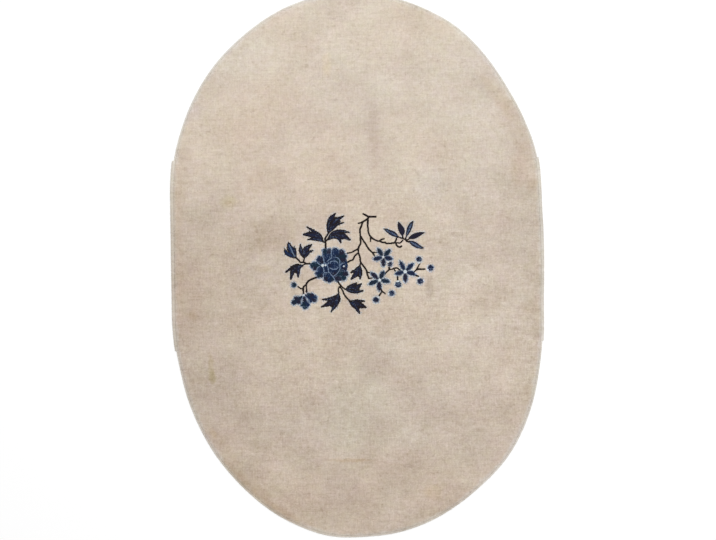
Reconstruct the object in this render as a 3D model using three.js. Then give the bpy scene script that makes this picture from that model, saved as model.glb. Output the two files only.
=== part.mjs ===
// Oval Peking rug: a knotted wool pile on a cotton foundation, with overcast edges.
// Millimetres, +Z up, +X across, +Y along the rug, origin on the floor under the middle of the rug's box.
import * as THREE from "three";

// The oval that the edges are sewn to: a quarter of an ellipse in each corner and straight sides between.
const HALF_WIDTH = 604;
const TOP_END = { halfLength: 891, apex: -2, straightRight: 184, straightLeft: 232 };
const BOTTOM_END = { halfLength: 889, apex: -7, straightRight: 236, straightLeft: 149 };

// Where the hand-finished rim swells (+) or draws in (-), by angle about the rug's middle.
const RIM_SWELLS = [
  { at: 3, reach: 18, height: 3 },
  { at: 18, reach: 9, height: -2 },
  { at: 32, reach: 10, height: 5 },
  { at: 50, reach: 11, height: -4.5 },
  { at: 67, reach: 9, height: 3.5 },
  { at: 102, reach: 9, height: 2.5 },
  { at: 117, reach: 9, height: -2 },
  { at: 149, reach: 8, height: 1.5 },
  { at: 210, reach: 8, height: -2 },
  { at: 242, reach: 12, height: -2.5 },
  { at: 263, reach: 9, height: 3 },
  { at: 271, reach: 8, height: -2 },
  { at: 295, reach: 12, height: -2.5 },
  { at: 309, reach: 12, height: 4 },
  { at: 330, reach: 13, height: -5 },
];

// The cloth: warp and weft below, the wool pile above with its rounded shoulder at the rim.
const FOUNDATION = 3;
const THICKNESS = 10;
const SHOULDER = [
  { z: 0, inset: 0 },
  { z: FOUNDATION, inset: 0 },
  { z: 6, inset: 0.6 },
  { z: 8.2, inset: 2 },
  { z: 9.5, inset: 4.5 },
  { z: THICKNESS, inset: 8 },
];

// The edging: a yarn-wrapped cord sewn along each end and a fuller one along each side.
const CORD_WIDTH = 4.5;
const SEWING_GAP = 0.3;
const CORDS = [
  { name: "selvedge_right", from: -22.8, to: 30.3, proudFrom: 4, proudTo: 4.5, height: 7 },
  { name: "end_cord_top", from: 30.3, to: 149.6, proudFrom: 0, proudTo: 0, height: 6 },
  { name: "selvedge_left", from: 149.6, to: 204.5, proudFrom: 6, proudTo: 4, height: 7 },
  { name: "end_cord_bottom", from: 204.5, to: 337.2, proudFrom: 0, proudTo: 0, height: 6 },
];

// A cord's section: `in` is the share of its width from the outer side, `up` the share of its height.
const CORD_SECTION = [
  { in: 0.15, up: 0 },
  { in: 1, up: 0 },
  { in: 1, up: 0.6 },
  { in: 0.8, up: 0.92 },
  { in: 0.5, up: 1 },
  { in: 0.2, up: 0.85 },
  { in: 0, up: 0.45 },
];

// Stations round the rim, and their spacing in degrees.
const STATIONS = 160;
const STEP = 360 / STATIONS;

// Distance from the middle to the smooth oval, at an angle in degrees.
function ovalReach(degrees) {
  const c = Math.cos(THREE.MathUtils.degToRad(degrees));
  const s = Math.sin(THREE.MathUtils.degToRad(degrees));
  const end = s >= 0 ? TOP_END : BOTTOM_END;
  const side = Math.sign(c) || 1;
  const straight = side > 0 ? end.straightRight : end.straightLeft;
  const reachAtSide = HALF_WIDTH / Math.max(Math.abs(c), 1e-6);
  if (reachAtSide * Math.abs(s) <= straight) return reachAtSide;
  const across = HALF_WIDTH - side * end.apex;
  const along = end.halfLength - straight;
  const a = (c / across) ** 2 + (s / along) ** 2;
  const b = -2 * ((c * end.apex) / across ** 2 + (Math.abs(s) * straight) / along ** 2);
  const k = (end.apex / across) ** 2 + (straight / along) ** 2 - 1;
  return (-b + Math.sqrt(b * b - 4 * a * k)) / (2 * a);
}

// How far the rim swells beyond the smooth oval, at an angle in degrees.
function swell(degrees) {
  let total = 0;
  for (const { at, reach, height } of RIM_SWELLS) {
    const away = Math.abs(THREE.MathUtils.euclideanModulo(degrees - at + 180, 360) - 180);
    if (away < reach) total += (height * (1 + Math.cos((Math.PI * away) / reach))) / 2;
  }
  return total;
}

function rimPoint(degrees) {
  const angle = THREE.MathUtils.degToRad(degrees);
  const reach = ovalReach(degrees) + swell(degrees);
  return new THREE.Vector2(reach * Math.cos(angle), reach * Math.sin(angle));
}

// The rim's point at an angle, moved inwards by inset along the rim's own normal.
function rimInset(degrees, inset) {
  const along = rimPoint(degrees + STEP / 2).sub(rimPoint(degrees - STEP / 2)).normalize();
  const inwards = new THREE.Vector2(-along.y, along.x);
  return rimPoint(degrees).addScaledVector(inwards, inset);
}

// A closed skin over rings with equal counts of points, each ring turning about the way the rings advance.
// capOutline gives the flat outline that both ends are filled by.
function skin(rings, capOutline) {
  const count = rings[0].length;
  const last = (rings.length - 1) * count;
  const indices = [];
  for (let r = 0; r < rings.length - 1; r++) {
    for (let i = 0; i < count; i++) {
      const j = (i + 1) % count;
      const near = r * count;
      const far = near + count;
      indices.push(near + i, near + j, far + j, near + i, far + j, far + i);
    }
  }
  for (const [a, b, c] of THREE.ShapeUtils.triangulateShape(capOutline, [])) {
    indices.push(a, c, b, last + a, last + b, last + c);
  }
  const geometry = new THREE.BufferGeometry().setFromPoints(rings.flat());
  geometry.setIndex(indices);
  geometry.computeVertexNormals();
  return geometry;
}

// The foundation and pile as one solid: the rim's outline at each height of the shoulder.
function makeCloth() {
  const angles = Array.from({ length: STATIONS }, (_, i) => i * STEP);
  const edge = CORD_WIDTH + SEWING_GAP;
  const rings = SHOULDER.map(({ z, inset }) =>
    angles.map((degrees) => {
      const p = rimInset(degrees, edge + inset);
      return new THREE.Vector3(p.x, p.y, z);
    }),
  );
  return skin(rings, angles.map((degrees) => rimInset(degrees, edge)));
}

// One cord of the edging, from angle to angle, standing proud of the rim by a width that eases along it.
function makeCord({ from, to, proudFrom, proudTo, height }) {
  const trim = THREE.MathUtils.radToDeg(SEWING_GAP / 2 / HALF_WIDTH);
  const angles = [from + trim];
  for (let k = Math.ceil(from / STEP + 0.1); k * STEP < to - 0.1 * STEP; k++) angles.push(k * STEP);
  angles.push(to - trim);
  const rings = angles.map((degrees) => {
    const proud = THREE.MathUtils.mapLinear(degrees, from, to, proudFrom, proudTo);
    const width = CORD_WIDTH + proud;
    return CORD_SECTION.map((corner) => {
      const p = rimInset(degrees, corner.in * width - proud);
      return new THREE.Vector3(p.x, p.y, corner.up * height);
    });
  });
  return skin(rings, CORD_SECTION.map((corner) => new THREE.Vector2(corner.in, corner.up)));
}

const pileWool = new THREE.MeshStandardMaterial({ color: 0xcdbba5, roughness: 0.95, metalness: 0 });
const edgeYarn = new THREE.MeshStandardMaterial({ color: 0xbfb3a6, roughness: 0.9, metalness: 0 });

const rug = new THREE.Group();

const cloth = new THREE.Mesh(makeCloth(), pileWool);
cloth.name = "rug_body";
rug.add(cloth);

for (const row of CORDS) {
  const cord = new THREE.Mesh(makeCord(row), edgeYarn);
  cord.name = row.name;
  rug.add(cord);
}

const middle = new THREE.Box3().setFromObject(rug).getCenter(new THREE.Vector3());
rug.position.set(-middle.x, -middle.y, 0);

export default rug;
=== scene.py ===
"""Oval Peking rug: a cut wool pile on a cotton foundation, a flower spray at its middle, and overcast edges.

Lengths are in metres, and the tables of the spray are in millimetres. +Y runs along the rug.
"""
import collections
import functools
import math

import bpy
import numpy as np
from bpy.props import FloatProperty, FloatVectorProperty, IntProperty, PointerProperty
from bpy.types import Operator, Panel, PropertyGroup
from mathutils.geometry import delaunay_2d_cdt
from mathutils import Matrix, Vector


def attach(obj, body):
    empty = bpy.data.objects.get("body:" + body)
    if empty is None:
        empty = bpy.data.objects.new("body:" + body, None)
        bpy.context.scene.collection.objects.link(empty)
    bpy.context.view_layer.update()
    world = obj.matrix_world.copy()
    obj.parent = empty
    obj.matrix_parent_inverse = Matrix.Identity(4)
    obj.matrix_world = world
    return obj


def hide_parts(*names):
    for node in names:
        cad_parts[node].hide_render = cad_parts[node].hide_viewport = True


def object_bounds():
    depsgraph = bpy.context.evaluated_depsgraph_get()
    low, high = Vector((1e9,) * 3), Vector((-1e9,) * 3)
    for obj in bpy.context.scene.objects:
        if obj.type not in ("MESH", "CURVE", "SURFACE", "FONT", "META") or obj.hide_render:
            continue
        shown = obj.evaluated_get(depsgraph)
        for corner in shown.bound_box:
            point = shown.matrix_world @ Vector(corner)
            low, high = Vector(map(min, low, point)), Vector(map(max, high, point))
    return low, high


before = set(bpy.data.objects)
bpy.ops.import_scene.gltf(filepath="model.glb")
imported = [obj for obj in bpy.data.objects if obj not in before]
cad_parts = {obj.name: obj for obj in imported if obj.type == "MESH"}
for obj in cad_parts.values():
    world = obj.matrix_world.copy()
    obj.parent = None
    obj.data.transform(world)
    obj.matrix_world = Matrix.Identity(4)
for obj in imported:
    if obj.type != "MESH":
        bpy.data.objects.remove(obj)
CAD_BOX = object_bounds()

bl_info = {
    "name": "Oval Peking Rug",
    "version": (1, 0, 0),
    "blender": (4, 5, 0),
    "location": "3D View > Sidebar > Rug",
    "description": "Makes a knotted oval rug with a flower spray on its packed solids",
    "category": "Object",
}

MM = 0.001
BODY = "root"
CLOTH_NODE = "rug_body"
CORD_NODES = ("selvedge_right", "end_cord_top", "selvedge_left", "end_cord_bottom")

# The plain pile is made in this many strips along the rug, so that no piece has too many triangles.
STRIPS = 4

# The spray's yarns, each with a slot name. Yarn 0 is the plain ground.
YARN_SLOTS = {
    "ground": "ground_wool",
    "bark": "bark_wool",
    "navy": "navy_wool",
    "blue": "blue_wool",
    "teal": "teal_wool",
    "light": "light_blue_wool",
    "pale": "pale_blue_wool",
}
YARNS = tuple(YARN_SLOTS)
GROUND, BARK, NAVY, BLUE, TEAL, LIGHT, PALE = range(len(YARNS))

# Stems and twigs: the route from one end to the other, and half the width at each end.
LIMBS = (
    (((20, 167), (28, 163), (38, 157)), 3, 3.5),
    (((38, 157), (50, 157), (61, 158)), 3.5, 3.5),
    (((38, 157), (33, 150), (18, 141), (4, 136)), 3.5, 2.5),
    (((18, 140), (14, 128), (9, 115), (10, 101), (10, 85), (11, 72), (3, 55), (3, 40)), 3.5, 3),
    (((3, 40), (8, 26), (10, 10), (28, -16), (31, -30), (36, -44)), 3, 3),
    (((30, -22), (38, -26)), 2.5, 2.5),
    (((36, -44), (46, -43)), 3, 2.5),
    (((3, 53), (-11, 46), (-19, 42), (-33, 39)), 3, 2.5),
    (((-1, 37), (-10, 28), (-15, 18), (-27, 13), (-40, 4), (-38, -6)), 3, 3),
    (((11, 94), (21, 78), (28, 67), (37, 52), (48, 41), (55, 31)), 3, 3),
    (((47, 41), (64, 40)), 2.5, 2),
    (((35, 149), (35, 139), (35, 123), (37, 105), (44, 92), (57, 82), (66, 78)), 3, 3),
    (((66, 78), (73, 77), (82, 73), (90, 73), (98, 69), (121, 71)), 3, 3),
    (((44, 92), (43, 77)), 3, 2.5),
    (((74, 79), (80, 83), (88, 85)), 3, 2.5),
    (((121, 71), (126, 79), (129, 87)), 3, 2.5),
    (((121, 71), (133, 71), (137, 70), (143, 73), (148, 79)), 2.5, 2.5),
    (((126, 70), (129, 62), (138, 57), (144, 60)), 3, 3),
    (((135, 90), (148, 85), (157, 82)), 2.5, 2.5),
    (((148, 95), (149, 85)), 2.5, 2.5),
    (((160, 91), (157, 82)), 2.5, 2.5),
    (((171, 85), (163, 80), (158, 81)), 2.5, 2.5),
    (((158, 81), (163, 75), (171, 74)), 3, 2.5),
    (((88, -30), (97, -22), (104, -16), (113, -15), (120, -12), (130, -12), (144, -24)), 2.5, 3),
    (((104, -16), (103, -10)), 3, 3.5),
    (((120, -17), (123, -21)), 2.5, 2.5),
    (((184, -25), (192, -17), (199, -5), (203, 3)), 2.5, 2.5),
    (((192, -17), (201, -16), (219, -16)), 3, 3),
    (((180, -35), (186, -35), (198, -39)), 2.5, 3),
    (((130, -40), (130, -49)), 3, 3),
    (((73, -77), (78, -86), (69, -101)), 2.5, 3),
    (((78, -86), (89, -94)), 2.5, 2.5),
    (((-104, 54), (-104, 75), (-104, 81), (-105, 88), (-100, 96), (-95, 104)), 3.5, 3),
    (((-104, 75), (-110, 76)), 2.5, 2.5),
    (((-102, 80), (-91, 91)), 2.5, 2.5),
    (((-156, 7), (-167, 7), (-175, 11), (-186, 11), (-190, 16), (-200, 26)), 3, 3),
    (((-177, 11), (-174, 24)), 2.5, 2.5),
    (((-167, 7), (-177, 3)), 2.5, 2.5),
    (((-134, -38), (-152, -45), (-163, -52), (-170, -63), (-178, -70), (-178, -92)), 3.5, 3),
    (((-169, -63), (-168, -69), (-168, -86)), 2.5, 3),
    (((-179, -74), (-187, -74), (-195, -68)), 2.5, 2.5),
    (((-65, -53), (-56, -66), (-50, -72), (-41, -79)), 3, 2.5),
    (((-60, -70), (-64, -78), (-63, -91)), 2.5, 2.5),
    (((-59, -70), (-50, -82), (-47, -91), (-39, -104), (-29, -115)), 2.5, 3),
    (((10, 12), (8, -1)), 2.5, 2.5),
)

# Cut leaves: where the leaf joins its stem, each pointed lobe as two bends, its tip and three half widths,
# and the share of the way from the second bends to the tips that the web between two lobes reaches.
CUT_LEAVES = (
    ((-95, 104), (((-93, 129), (-85, 151), (-71, 169), (7.5, 9.5, 2.5)),
                  ((-82, 129), (-69, 147), (-43, 161), (9.5, 7.5, 2.5)),
                  ((-80, 124), (-64, 134), (-44, 139), (8, 5, 2))), 0.4),
    ((-110, 77), (((-123, 97), (-143, 113), (-163, 126), (7, 5, 2.5)),
                  ((-128, 93), (-151, 102), (-174, 102), (9.5, 10, 4)),
                  ((-127, 85), (-145, 87), (-162, 85), (6.5, 5, 2))), 0.05),
    ((-98, 83), (((-79, 103), (-53, 111), (-26, 107), (8, 6.5, 2.5)),
                 ((-76, 96), (-50, 97), (-24, 83), (8.5, 10.5, 3)),
                 ((-76, 93), (-61, 89), (-54, 75), (6, 6.5, 3))), 0.4),
    ((-174, 24), (((-181, 40), (-185, 52), (-186, 69), (7, 6.5, 2.5)),
                  ((-172, 43), (-165, 56), (-150, 68), (9.5, 9, 3)),
                  ((-166, 38), (-158, 45), (-146, 49), (7, 5, 2.5))), 0.0),
    ((-177, 2), (((-198, 0), (-213, -5), (-234, -19), (7, 5.5, 3)),
                 ((-196, -4), (-211, -15), (-219, -43), (9, 9, 3)),
                 ((-192, -5), (-194, -18), (-195, -35), (8, 6.5, 3.5))), 0.15),
    ((8, -1), (((0, -13), (-9, -19), (-22, -24), (7, 5.5, 3)),
               ((0, -18), (-7, -31), (-21, -45), (9, 8.5, 3)),
               ((8, -18), (8, -32), (8, -44), (7, 6, 3))), 0.0),
    ((-41, -79), (((-27, -71), (-16, -65), (-4, -58), (6, 5, 2.5)),
                  ((-24, -76), (-5, -73), (12, -61), (8.5, 9, 2.5)),
                  ((-26, -83), (-5, -87), (16, -84), (6.5, 6, 3))), 0.35),
    ((-63, -91), (((-72, -105), (-93, -110), (-116, -111), (8, 6, 2.5)),
                  ((-69, -113), (-92, -124), (-120, -135), (11.5, 9, 2.5)),
                  ((-69, -116), (-77, -133), (-88, -151), (9.5, 7, 2.5))), 0.2),
    ((-29, -117), (((-13, -119), (1, -117), (21, -118), (6, 5, 2.5)),
                   ((-13, -125), (5, -130), (24, -138), (10, 10, 3.5)),
                   ((-17, -127), (-5, -140), (4, -157), (8, 7, 3))), 0.3),
)

# The one light leaf: as a cut leaf, in blue with a pale rib.
LIGHT_LEAF = ((-201, 25), (((-212, 47), (-222, 64), (-225, 78), (10.5, 8, 1.5)),
                           ((-220, 36), (-233, 44), (-238, 58), (8, 6.5, 1.5)),
                           ((-204, 39), (-205, 50), (-206, 63), (6, 5, 1.5))), 0.0)
LIGHT_LEAF_RIB = ((-223, 70), (-215, 52), (-205, 30))
LIGHT_RIB_HALF = 1.5

# Lance leaves: base, two bends, tip, half widths at the four, and the share of light tufts along the middle.
# The first has a greenish tip, given as its middle and radius.
LANCE_LEAVES = (
    ((134, 90), (119, 100), (102, 109), (89, 117), (2.5, 8, 6.5, 2), 0.38),
    ((148, 94), (146, 110), (140, 124), (135, 138), (2.5, 10, 8, 2), 0.0),
    ((160, 91), (167, 109), (174, 126), (182, 140), (2, 7, 7.5, 2.5), 0.38),
    ((171, 87), (184, 91), (200, 98), (218, 103), (3.5, 8.5, 7.5, 2), 0.0),
    ((171, 75), (183, 68), (198, 59), (214, 53), (3, 8, 7.5, 2.5), 0.5),
)
GREEN_TIP = ((90, 116), 4.5)

# Five-petalled blossoms: the middle, the heart's radius, and each petal's bearing in degrees, reach and yarn.
BLOSSOMS = (
    ((84, 25), 4, ((122, 35, TEAL), (46, 34, TEAL), (-13, 31, BLUE), (-89, 31, NAVY), (192, 33, BLUE))),
    ((71, -50), 4.5, ((138, 38, NAVY), (64, 33, TEAL), (-9, 34, TEAL), (-94, 35, NAVY), (200, 38, TEAL))),
    ((155, -23), 5.5, ((116, 38, BLUE), (44, 38, BLUE), (-17, 35, BLUE), (-89, 36, NAVY), (195, 34, BLUE))),
)

# A blossom's petal: the half width at each share of its reach.
BLOSSOM_STOPS = ((0.1, 2), (0.35, 6.5), (0.55, 8), (0.8, 6), (1.0, 1.5))

# Buds: middle, radius, yarn, and the bearing in degrees of the pale knot where the stalk ends, if one shows.
BUDS = (
    ((106, 2), 8.5, NAVY, 135),
    ((201, 16), 9.5, BLUE, -90),
    ((238, -12), 10, BLUE, 212),
    ((204, -55), 10, BLUE, 115),
    ((132, -65), 10, BLUE, 95),
    ((110, -93), 9.5, BLUE, 190),
    ((59, -114), 10, BLUE, 50),
    ((-209, -62), 9, TEAL, None),
)
BUD_KNOT = 3.2

# The flower's ground behind its petals: strokes of (x, y, half width).
PEONY_GROUND = (
    ((-106, 0, 33), (-70, 0, 38)),
    ((-100, 26, 18), (-60, 28, 22)),
    ((-112, -21, 17), (-60, -29, 22)),
)

# Flower petals: the root, the belly's middle, radius and yarn, and each round lobe's middle, radius and yarn.
PEONY_PETALS = (
    ((-102, 18), ((-100, 34), 11, BLUE), (((-107, 47), 9, TEAL), ((-92, 47), 9, NAVY))),
    ((-70, 14), ((-60, 28), 15, TEAL), (((-73, 47), 11, BLUE), ((-52, 42), 10.5, NAVY),
                                       ((-43, 29), 9, TEAL), ((-47, 16), 8.5, NAVY))),
    ((-112, 6), ((-119, 17), 8.5, NAVY), (((-124, 24), 8, BLUE), ((-115, 25), 7.5, NAVY),
                                          ((-129, 17), 7, BLUE))),
    ((-122, -1), ((-134, -1), 9, TEAL), (((-141, 5), 8.5, TEAL), ((-147, 0), 8.5, TEAL),
                                         ((-139, -8), 8.5, NAVY))),
    ((-114, -8), ((-120, -22), 11.5, BLUE), (((-127, -16), 8.5, BLUE), ((-131, -25), 8.5, BLUE),
                                            ((-127, -33), 8, TEAL), ((-118, -32), 8.5, NAVY))),
    ((-95, -20), ((-93, -36), 13, BLUE), (((-103, -44), 9, NAVY), ((-93, -47), 9.5, BLUE),
                                          ((-84, -44), 8.5, TEAL))),
    ((-64, -20), ((-56, -32), 15, TEAL), (((-68, -44), 9, NAVY), ((-57, -42), 9.5, NAVY),
                                         ((-46, -41), 9.5, TEAL), ((-39, -28), 9, NAVY))),
    ((-60, -2), ((-51, -5), 8.5, BLUE), (((-46, 2), 7.5, BLUE), ((-45, -10), 8, NAVY))),
    ((-77, 8), ((-77, -10), 19, BLUE), (((-78, 22), 12.5, BLUE), ((-76, -26), 11.5, NAVY),
                                        ((-100, -6), 11.5, BLUE))),
    ((-100, 8), ((-100, -10), 8, BLUE), (((-78, 2), 14.5, BLUE),)),
)
HALF_OPEN_PETALS = (
    ((-183, -102), ((-194, -109), 7, TEAL), (((-202, -107), 8.5, NAVY), ((-209, -119), 9, TEAL),
                                             ((-195, -117), 9, NAVY))),
    ((-176, -104), ((-174, -118), 8, NAVY), (((-180, -126), 8.5, TEAL), ((-173, -134), 8.5, TEAL),
                                             ((-166, -127), 8.5, BLUE))),
    ((-170, -99), ((-156, -104), 8, BLUE), (((-161, -97), 8.5, TEAL), ((-151, -98), 9, NAVY),
                                            ((-142, -104), 8.5, BLUE), ((-143, -112), 8.5, NAVY),
                                            ((-155, -112), 9, BLUE))),
)

# The light lines between the petals: the route of each, and half their width.
PETAL_LINES = (
    ((-120, 0), (-117, 4), (-110, 5), (-110, 18), (-114, 32), (-115, 44), (-112, 51)),
    ((-80, 57), (-85, 45), (-85, 33), (-84, 25), (-92, 20), (-98, 14)),
    ((-74, 27), (-64, 24), (-59, 17), (-58, 5), (-58, -7), (-60, -17), (-68, -27), (-79, -35), (-82, -36)),
    ((-82, -36), (-89, -27), (-95, -19), (-97, -7), (-100, 1), (-105, 1)),
    ((-108, 10), (-100, 4), (-94, 8)),
    ((-89, 7), (-87, 13), (-78, 14), (-71, 14), (-64, 7)),
    ((-64, -6), (-69, -12), (-79, -13), (-87, -10), (-91, -8)),
    ((-114, -4), (-111, -12), (-110, -22), (-100, -24)),
    ((-113, -52), (-113, -41), (-111, -26)),
    ((-121, 1), (-128, 7), (-134, 15), (-136, 19)),
    ((-124, -3), (-130, -6), (-133, -12), (-132, -20)),
    ((-58, 1), (-51, 6), (-45, 7)),
    ((-76, -57), (-76, -45), (-81, -38)),
    ((-95, -11), (-96, -23)),
    ((-180, -99), (-183, -113), (-184, -126)),
    ((-173, -99), (-165, -108), (-157, -121)),
)
PETAL_LINE_HALF = 1.3

# The pale knots at the flowers' hearts: middle and radius.
HEARTS = (
    ((-114, 0), 4.5),
    ((-105, 1), 3),
    ((-45, -3), 3),
    ((-57, -54), 3),
    ((-50, -61), 2.5),
    ((-177, -96), 3.5),
)

# The spray's own window, in millimetres like all its sizes.
SPRAY_WINDOW = ((-252, -172), (262, 184))

# Widths of the dark outline of a cut leaf and of a lance leaf, of the fray of a petal's edge and of a leaf's,
# and of the band of light tufts inside a petal's edge.
LEAF_OUTLINE = 3.0
LANCE_OUTLINE = 1.8
EDGE_STRAY = 1.0
LEAF_STRAY = 0.3
RIM_SHADE = 3.0

# How deep in a blossom's petal, a bud and a lance leaf its darker or bluer inside begins.
BLOSSOM_RIND = 2.4
BUD_RIND = 1.5
LANCE_RIND = 3.2

# The halo of light tufts round a shape: its width, how far out it is full, and the power by which it thins.
HALO = 7.5
HALO_FULL = 2.0
HALO_FALL = 2.5

# Tufts to a cloud of lighter or darker dye, the clouds' spread, and how far two yarns stray into each other.
CLOUD = 8
CLOUD_SPREAD = 1.2
PETAL_MIX = 1.5

# How wide a petal is at its root, as a share of its belly, and a lobe where it leaves the belly, of the lobe.
PETAL_FOOT = 0.7
LOBE_NECK = 0.8

# The half width of a cut leaf's lobe where it leaves the stem.
LEAF_FOOT = 2

# The web between two lobes: its half width at its root and at its end.
WEB_ROOT_HALF = 5.0
WEB_HALF = 4.0

# The teeth off a leaf's lobe: how far along it and on which side, their turn from it in degrees, their reach
# in half widths of the lobe and beyond those, and their own half widths.
LEAF_TEETH = ((0.45, 1), (0.6, -1))
TOOTH_TURN = 32
TOOTH_REACH = (1.5, 1.5)
TOOTH_HALVES = (2.8, 1.3)

# Half widths of a lobe's rib from the stem to its tip, and of a lance leaf's streak of light tufts.
LEAF_RIB = (1.6, 2, 1.5, 0.2)
LANCE_STREAK = (0, 2.4, 2.4, 0)


def srgb(red, green, blue):
    """A colour given in 0 to 255 as a screen shows it, as Blender's linear colour."""
    return tuple(
        (c / 255 / 12.92) if c <= 10 else ((c / 255 + 0.055) / 1.055) ** 2.4 for c in (red, green, blue)
    )


# The rug's outline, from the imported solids. Points within SAME_LEVEL of a height count as at that height. The
# smooth line through the rim or a cord has this many parts between two points.
SAME_LEVEL = 0.05 * MM
RIM_PARTS = 9
CORD_PARTS = 8


def node_points(name):
    """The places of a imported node's vertices, each once."""
    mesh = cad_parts[name].data
    places = np.empty(len(mesh.vertices) * 3)
    mesh.vertices.foreach_get("co", places)
    return np.unique(places.reshape(-1, 3).round(7), axis=0)


def smooth_line(points, parts, closed=False):
    """A smooth line through points of any width, with each span cut into equal parts."""
    points = np.asarray(points, float)
    before, after, beyond = (np.roll(points, k, axis=0) for k in (1, -1, -2))
    if not closed:
        before[0] = 2 * points[0] - points[1]
        after[-1] = 2 * points[-1] - points[-2]
        beyond[-2] = after[-1]
    before, here, after, beyond = (a[:, None] for a in (before, points, after, beyond))
    t = (np.arange(parts) / parts)[None, :, None]
    spans = 0.5 * (
        2 * here
        + (after - before) * t
        + (2 * before - 5 * here + 4 * after - beyond) * t**2
        + (3 * here - before - 3 * after + beyond) * t**3
    )
    if closed:
        return spans.reshape(-1, points.shape[1])
    return np.vstack([spans[:-1].reshape(-1, points.shape[1]), points[-1:]])


def run_of(line):
    """How far along a line each of its points lies."""
    return np.concatenate([[0], np.cumsum(np.hypot(*np.diff(line, axis=0).T))])


def places_at(distances, line):
    """The places at some distances along a line."""
    run = run_of(line)
    return np.stack([np.interp(distances, run, line[:, k]) for k in (0, 1)], axis=1)


class Rim:
    """The cloth's outline: its reach from the middle by angle, and the shoulder's height by inset."""

    def __init__(self):
        points = node_points(CLOTH_NODE)
        ring = points[points[:, 2] < SAME_LEVEL, :2]
        ring = ring[np.argsort(np.arctan2(ring[:, 1], ring[:, 0]))]
        self.line = smooth_line(ring, RIM_PARTS, closed=True)
        angle = np.arctan2(self.line[:, 1], self.line[:, 0])
        order = np.argsort(angle)
        self.angle = angle[order]
        self.reach = np.hypot(*self.line[order].T)
        slope = np.gradient(self.reach, self.angle)
        self.square = self.reach / np.hypot(self.reach, slope)
        levels = np.unique(points[:, 2].round(5))[1:]
        widths = np.array([points[np.abs(points[:, 2] - z) < SAME_LEVEL, 0].max() for z in levels])
        self.insets = widths[0] - widths
        self.heights = levels

    def of(self, places, table):
        """A table's values at the angles of places."""
        return np.interp(np.arctan2(places[..., 1], places[..., 0]), self.angle, table, period=2 * math.pi)

    def inset(self, places):
        """How far places lie inside the rim."""
        reach = self.of(places, self.reach)
        return (reach - np.hypot(places[..., 0], places[..., 1])) * self.of(places, self.square)

    def shoulder(self, inset):
        """The pile's height at an inset."""
        return np.interp(inset, self.insets, self.heights)

    def moved_in(self, places, inset):
        """Places on the rim, moved straight to the middle until they lie at the inset."""
        reach = self.of(places, self.reach) - inset / self.of(places, self.square)
        return places * (reach / np.hypot(places[..., 0], places[..., 1]))[..., None]

    def even(self, spacing):
        """The rim as a closed line of even steps."""
        closed = np.vstack([self.line, self.line[:1]])
        length = run_of(closed)[-1]
        return places_at(np.linspace(0, length, round(length / spacing), endpoint=False), closed)


rim = Rim()


# The spray's chart: which yarn each small tuft is
FAR_OUTSIDE = -1e3


class Chart:
    """The yarn of each small tuft of the spray. Depth is how many millimetres a tuft lies inside a shape."""

    def __init__(self, x, y, seed):
        self.x, self.y = x, y
        self.yarn = np.zeros((len(y), len(x)), int)
        self.rng = np.random.default_rng(seed)
        self.chance = self.rng.random(self.yarn.shape)
        self.stray = self.rng.normal(0, 1, self.yarn.shape)
        coarse = self.rng.normal(0, CLOUD_SPREAD, (len(y) // CLOUD + 2, len(x) // CLOUD + 2))
        for axis, count in ((1, len(x)), (0, len(y))):
            at = np.arange(count) / CLOUD
            coarse = np.apply_along_axis(lambda line: np.interp(at, np.arange(len(line)), line), axis, coarse)
        self.cloud = coarse

    def depth(self, strokes, stray=0.0):
        """The depth inside the union of tapering strokes, each a list of (x, y, half width)."""
        found = np.full(self.yarn.shape, FAR_OUTSIDE)
        for stroke in strokes:
            stroke = np.asarray(stroke, float)
            wide = stroke[:, 2].max() + HALO + 3 * stray
            low, high = stroke[:, :2].min(0) - wide, stroke[:, :2].max(0) + wide
            xs = slice(*np.searchsorted(self.x, (low[0], high[0])))
            ys = slice(*np.searchsorted(self.y, (low[1], high[1])))
            places = np.stack(np.meshgrid(self.x[xs], self.y[ys]), axis=-1)
            part = found[ys, xs]
            for a, b in zip(stroke, stroke[1:]):
                along = b[:2] - a[:2]
                t = np.clip(((places - a[:2]) @ along) / max(along @ along, 1e-9), 0, 1)
                gap = np.linalg.norm(places - a[:2] - t[..., None] * along, axis=-1)
                np.maximum(part, a[2] + (b[2] - a[2]) * t - gap, out=part)
        return found + stray * self.stray

    def lay(self, where, yarn):
        self.yarn[where] = yarn

    def fill(self, strokes, yarn):
        """Lays all tufts inside some strokes."""
        self.lay(self.depth(strokes) > 0, yarn)

    def lay_some(self, where, share, yarn):
        """Lays a share of the tufts, the same ones at each call."""
        self.lay(where & (self.chance < share), yarn)

    def lay_others(self, where, share, yarn):
        """Lays a share of the tufts, beginning with those that lay_some takes last."""
        self.lay(where & (self.chance > 1 - share), yarn)

    def halo(self, depth, light, pale=0.38):
        """Light and pale tufts round a shape, fewer with distance, on plain ground only."""
        near = np.clip((HALO + depth) / (HALO - HALO_FULL), 0, 1)
        outside = (depth <= 0) & (depth > -HALO) & (self.yarn == GROUND)
        self.lay_some(outside, light * near**HALO_FALL, LIGHT)
        self.lay_others(outside, pale * near, PALE)

    def shade_rim(self, depth, share=0.4):
        """Light tufts among those along a shape's own edge."""
        self.lay_some((depth > 0) & (depth < RIM_SHADE), share * (1 - depth / RIM_SHADE), LIGHT)

    def mottle(self, where, light, dark, deep):
        """Lighter and darker tufts, in clouds over a dyed part."""
        self.lay_some(where, light * np.clip(self.cloud, 0, 1), LIGHT)
        self.lay_others(where, dark * np.clip(-self.cloud, 0, 1), deep)


def way_to(bearing):
    """The direction of a bearing in degrees."""
    return np.array([math.cos(math.radians(bearing)), math.sin(math.radians(bearing))])


def disc(middle, radius):
    """A stroke that is a disc."""
    return [(*middle, radius), (middle[0] + 0.01, middle[1], radius)]


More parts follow.
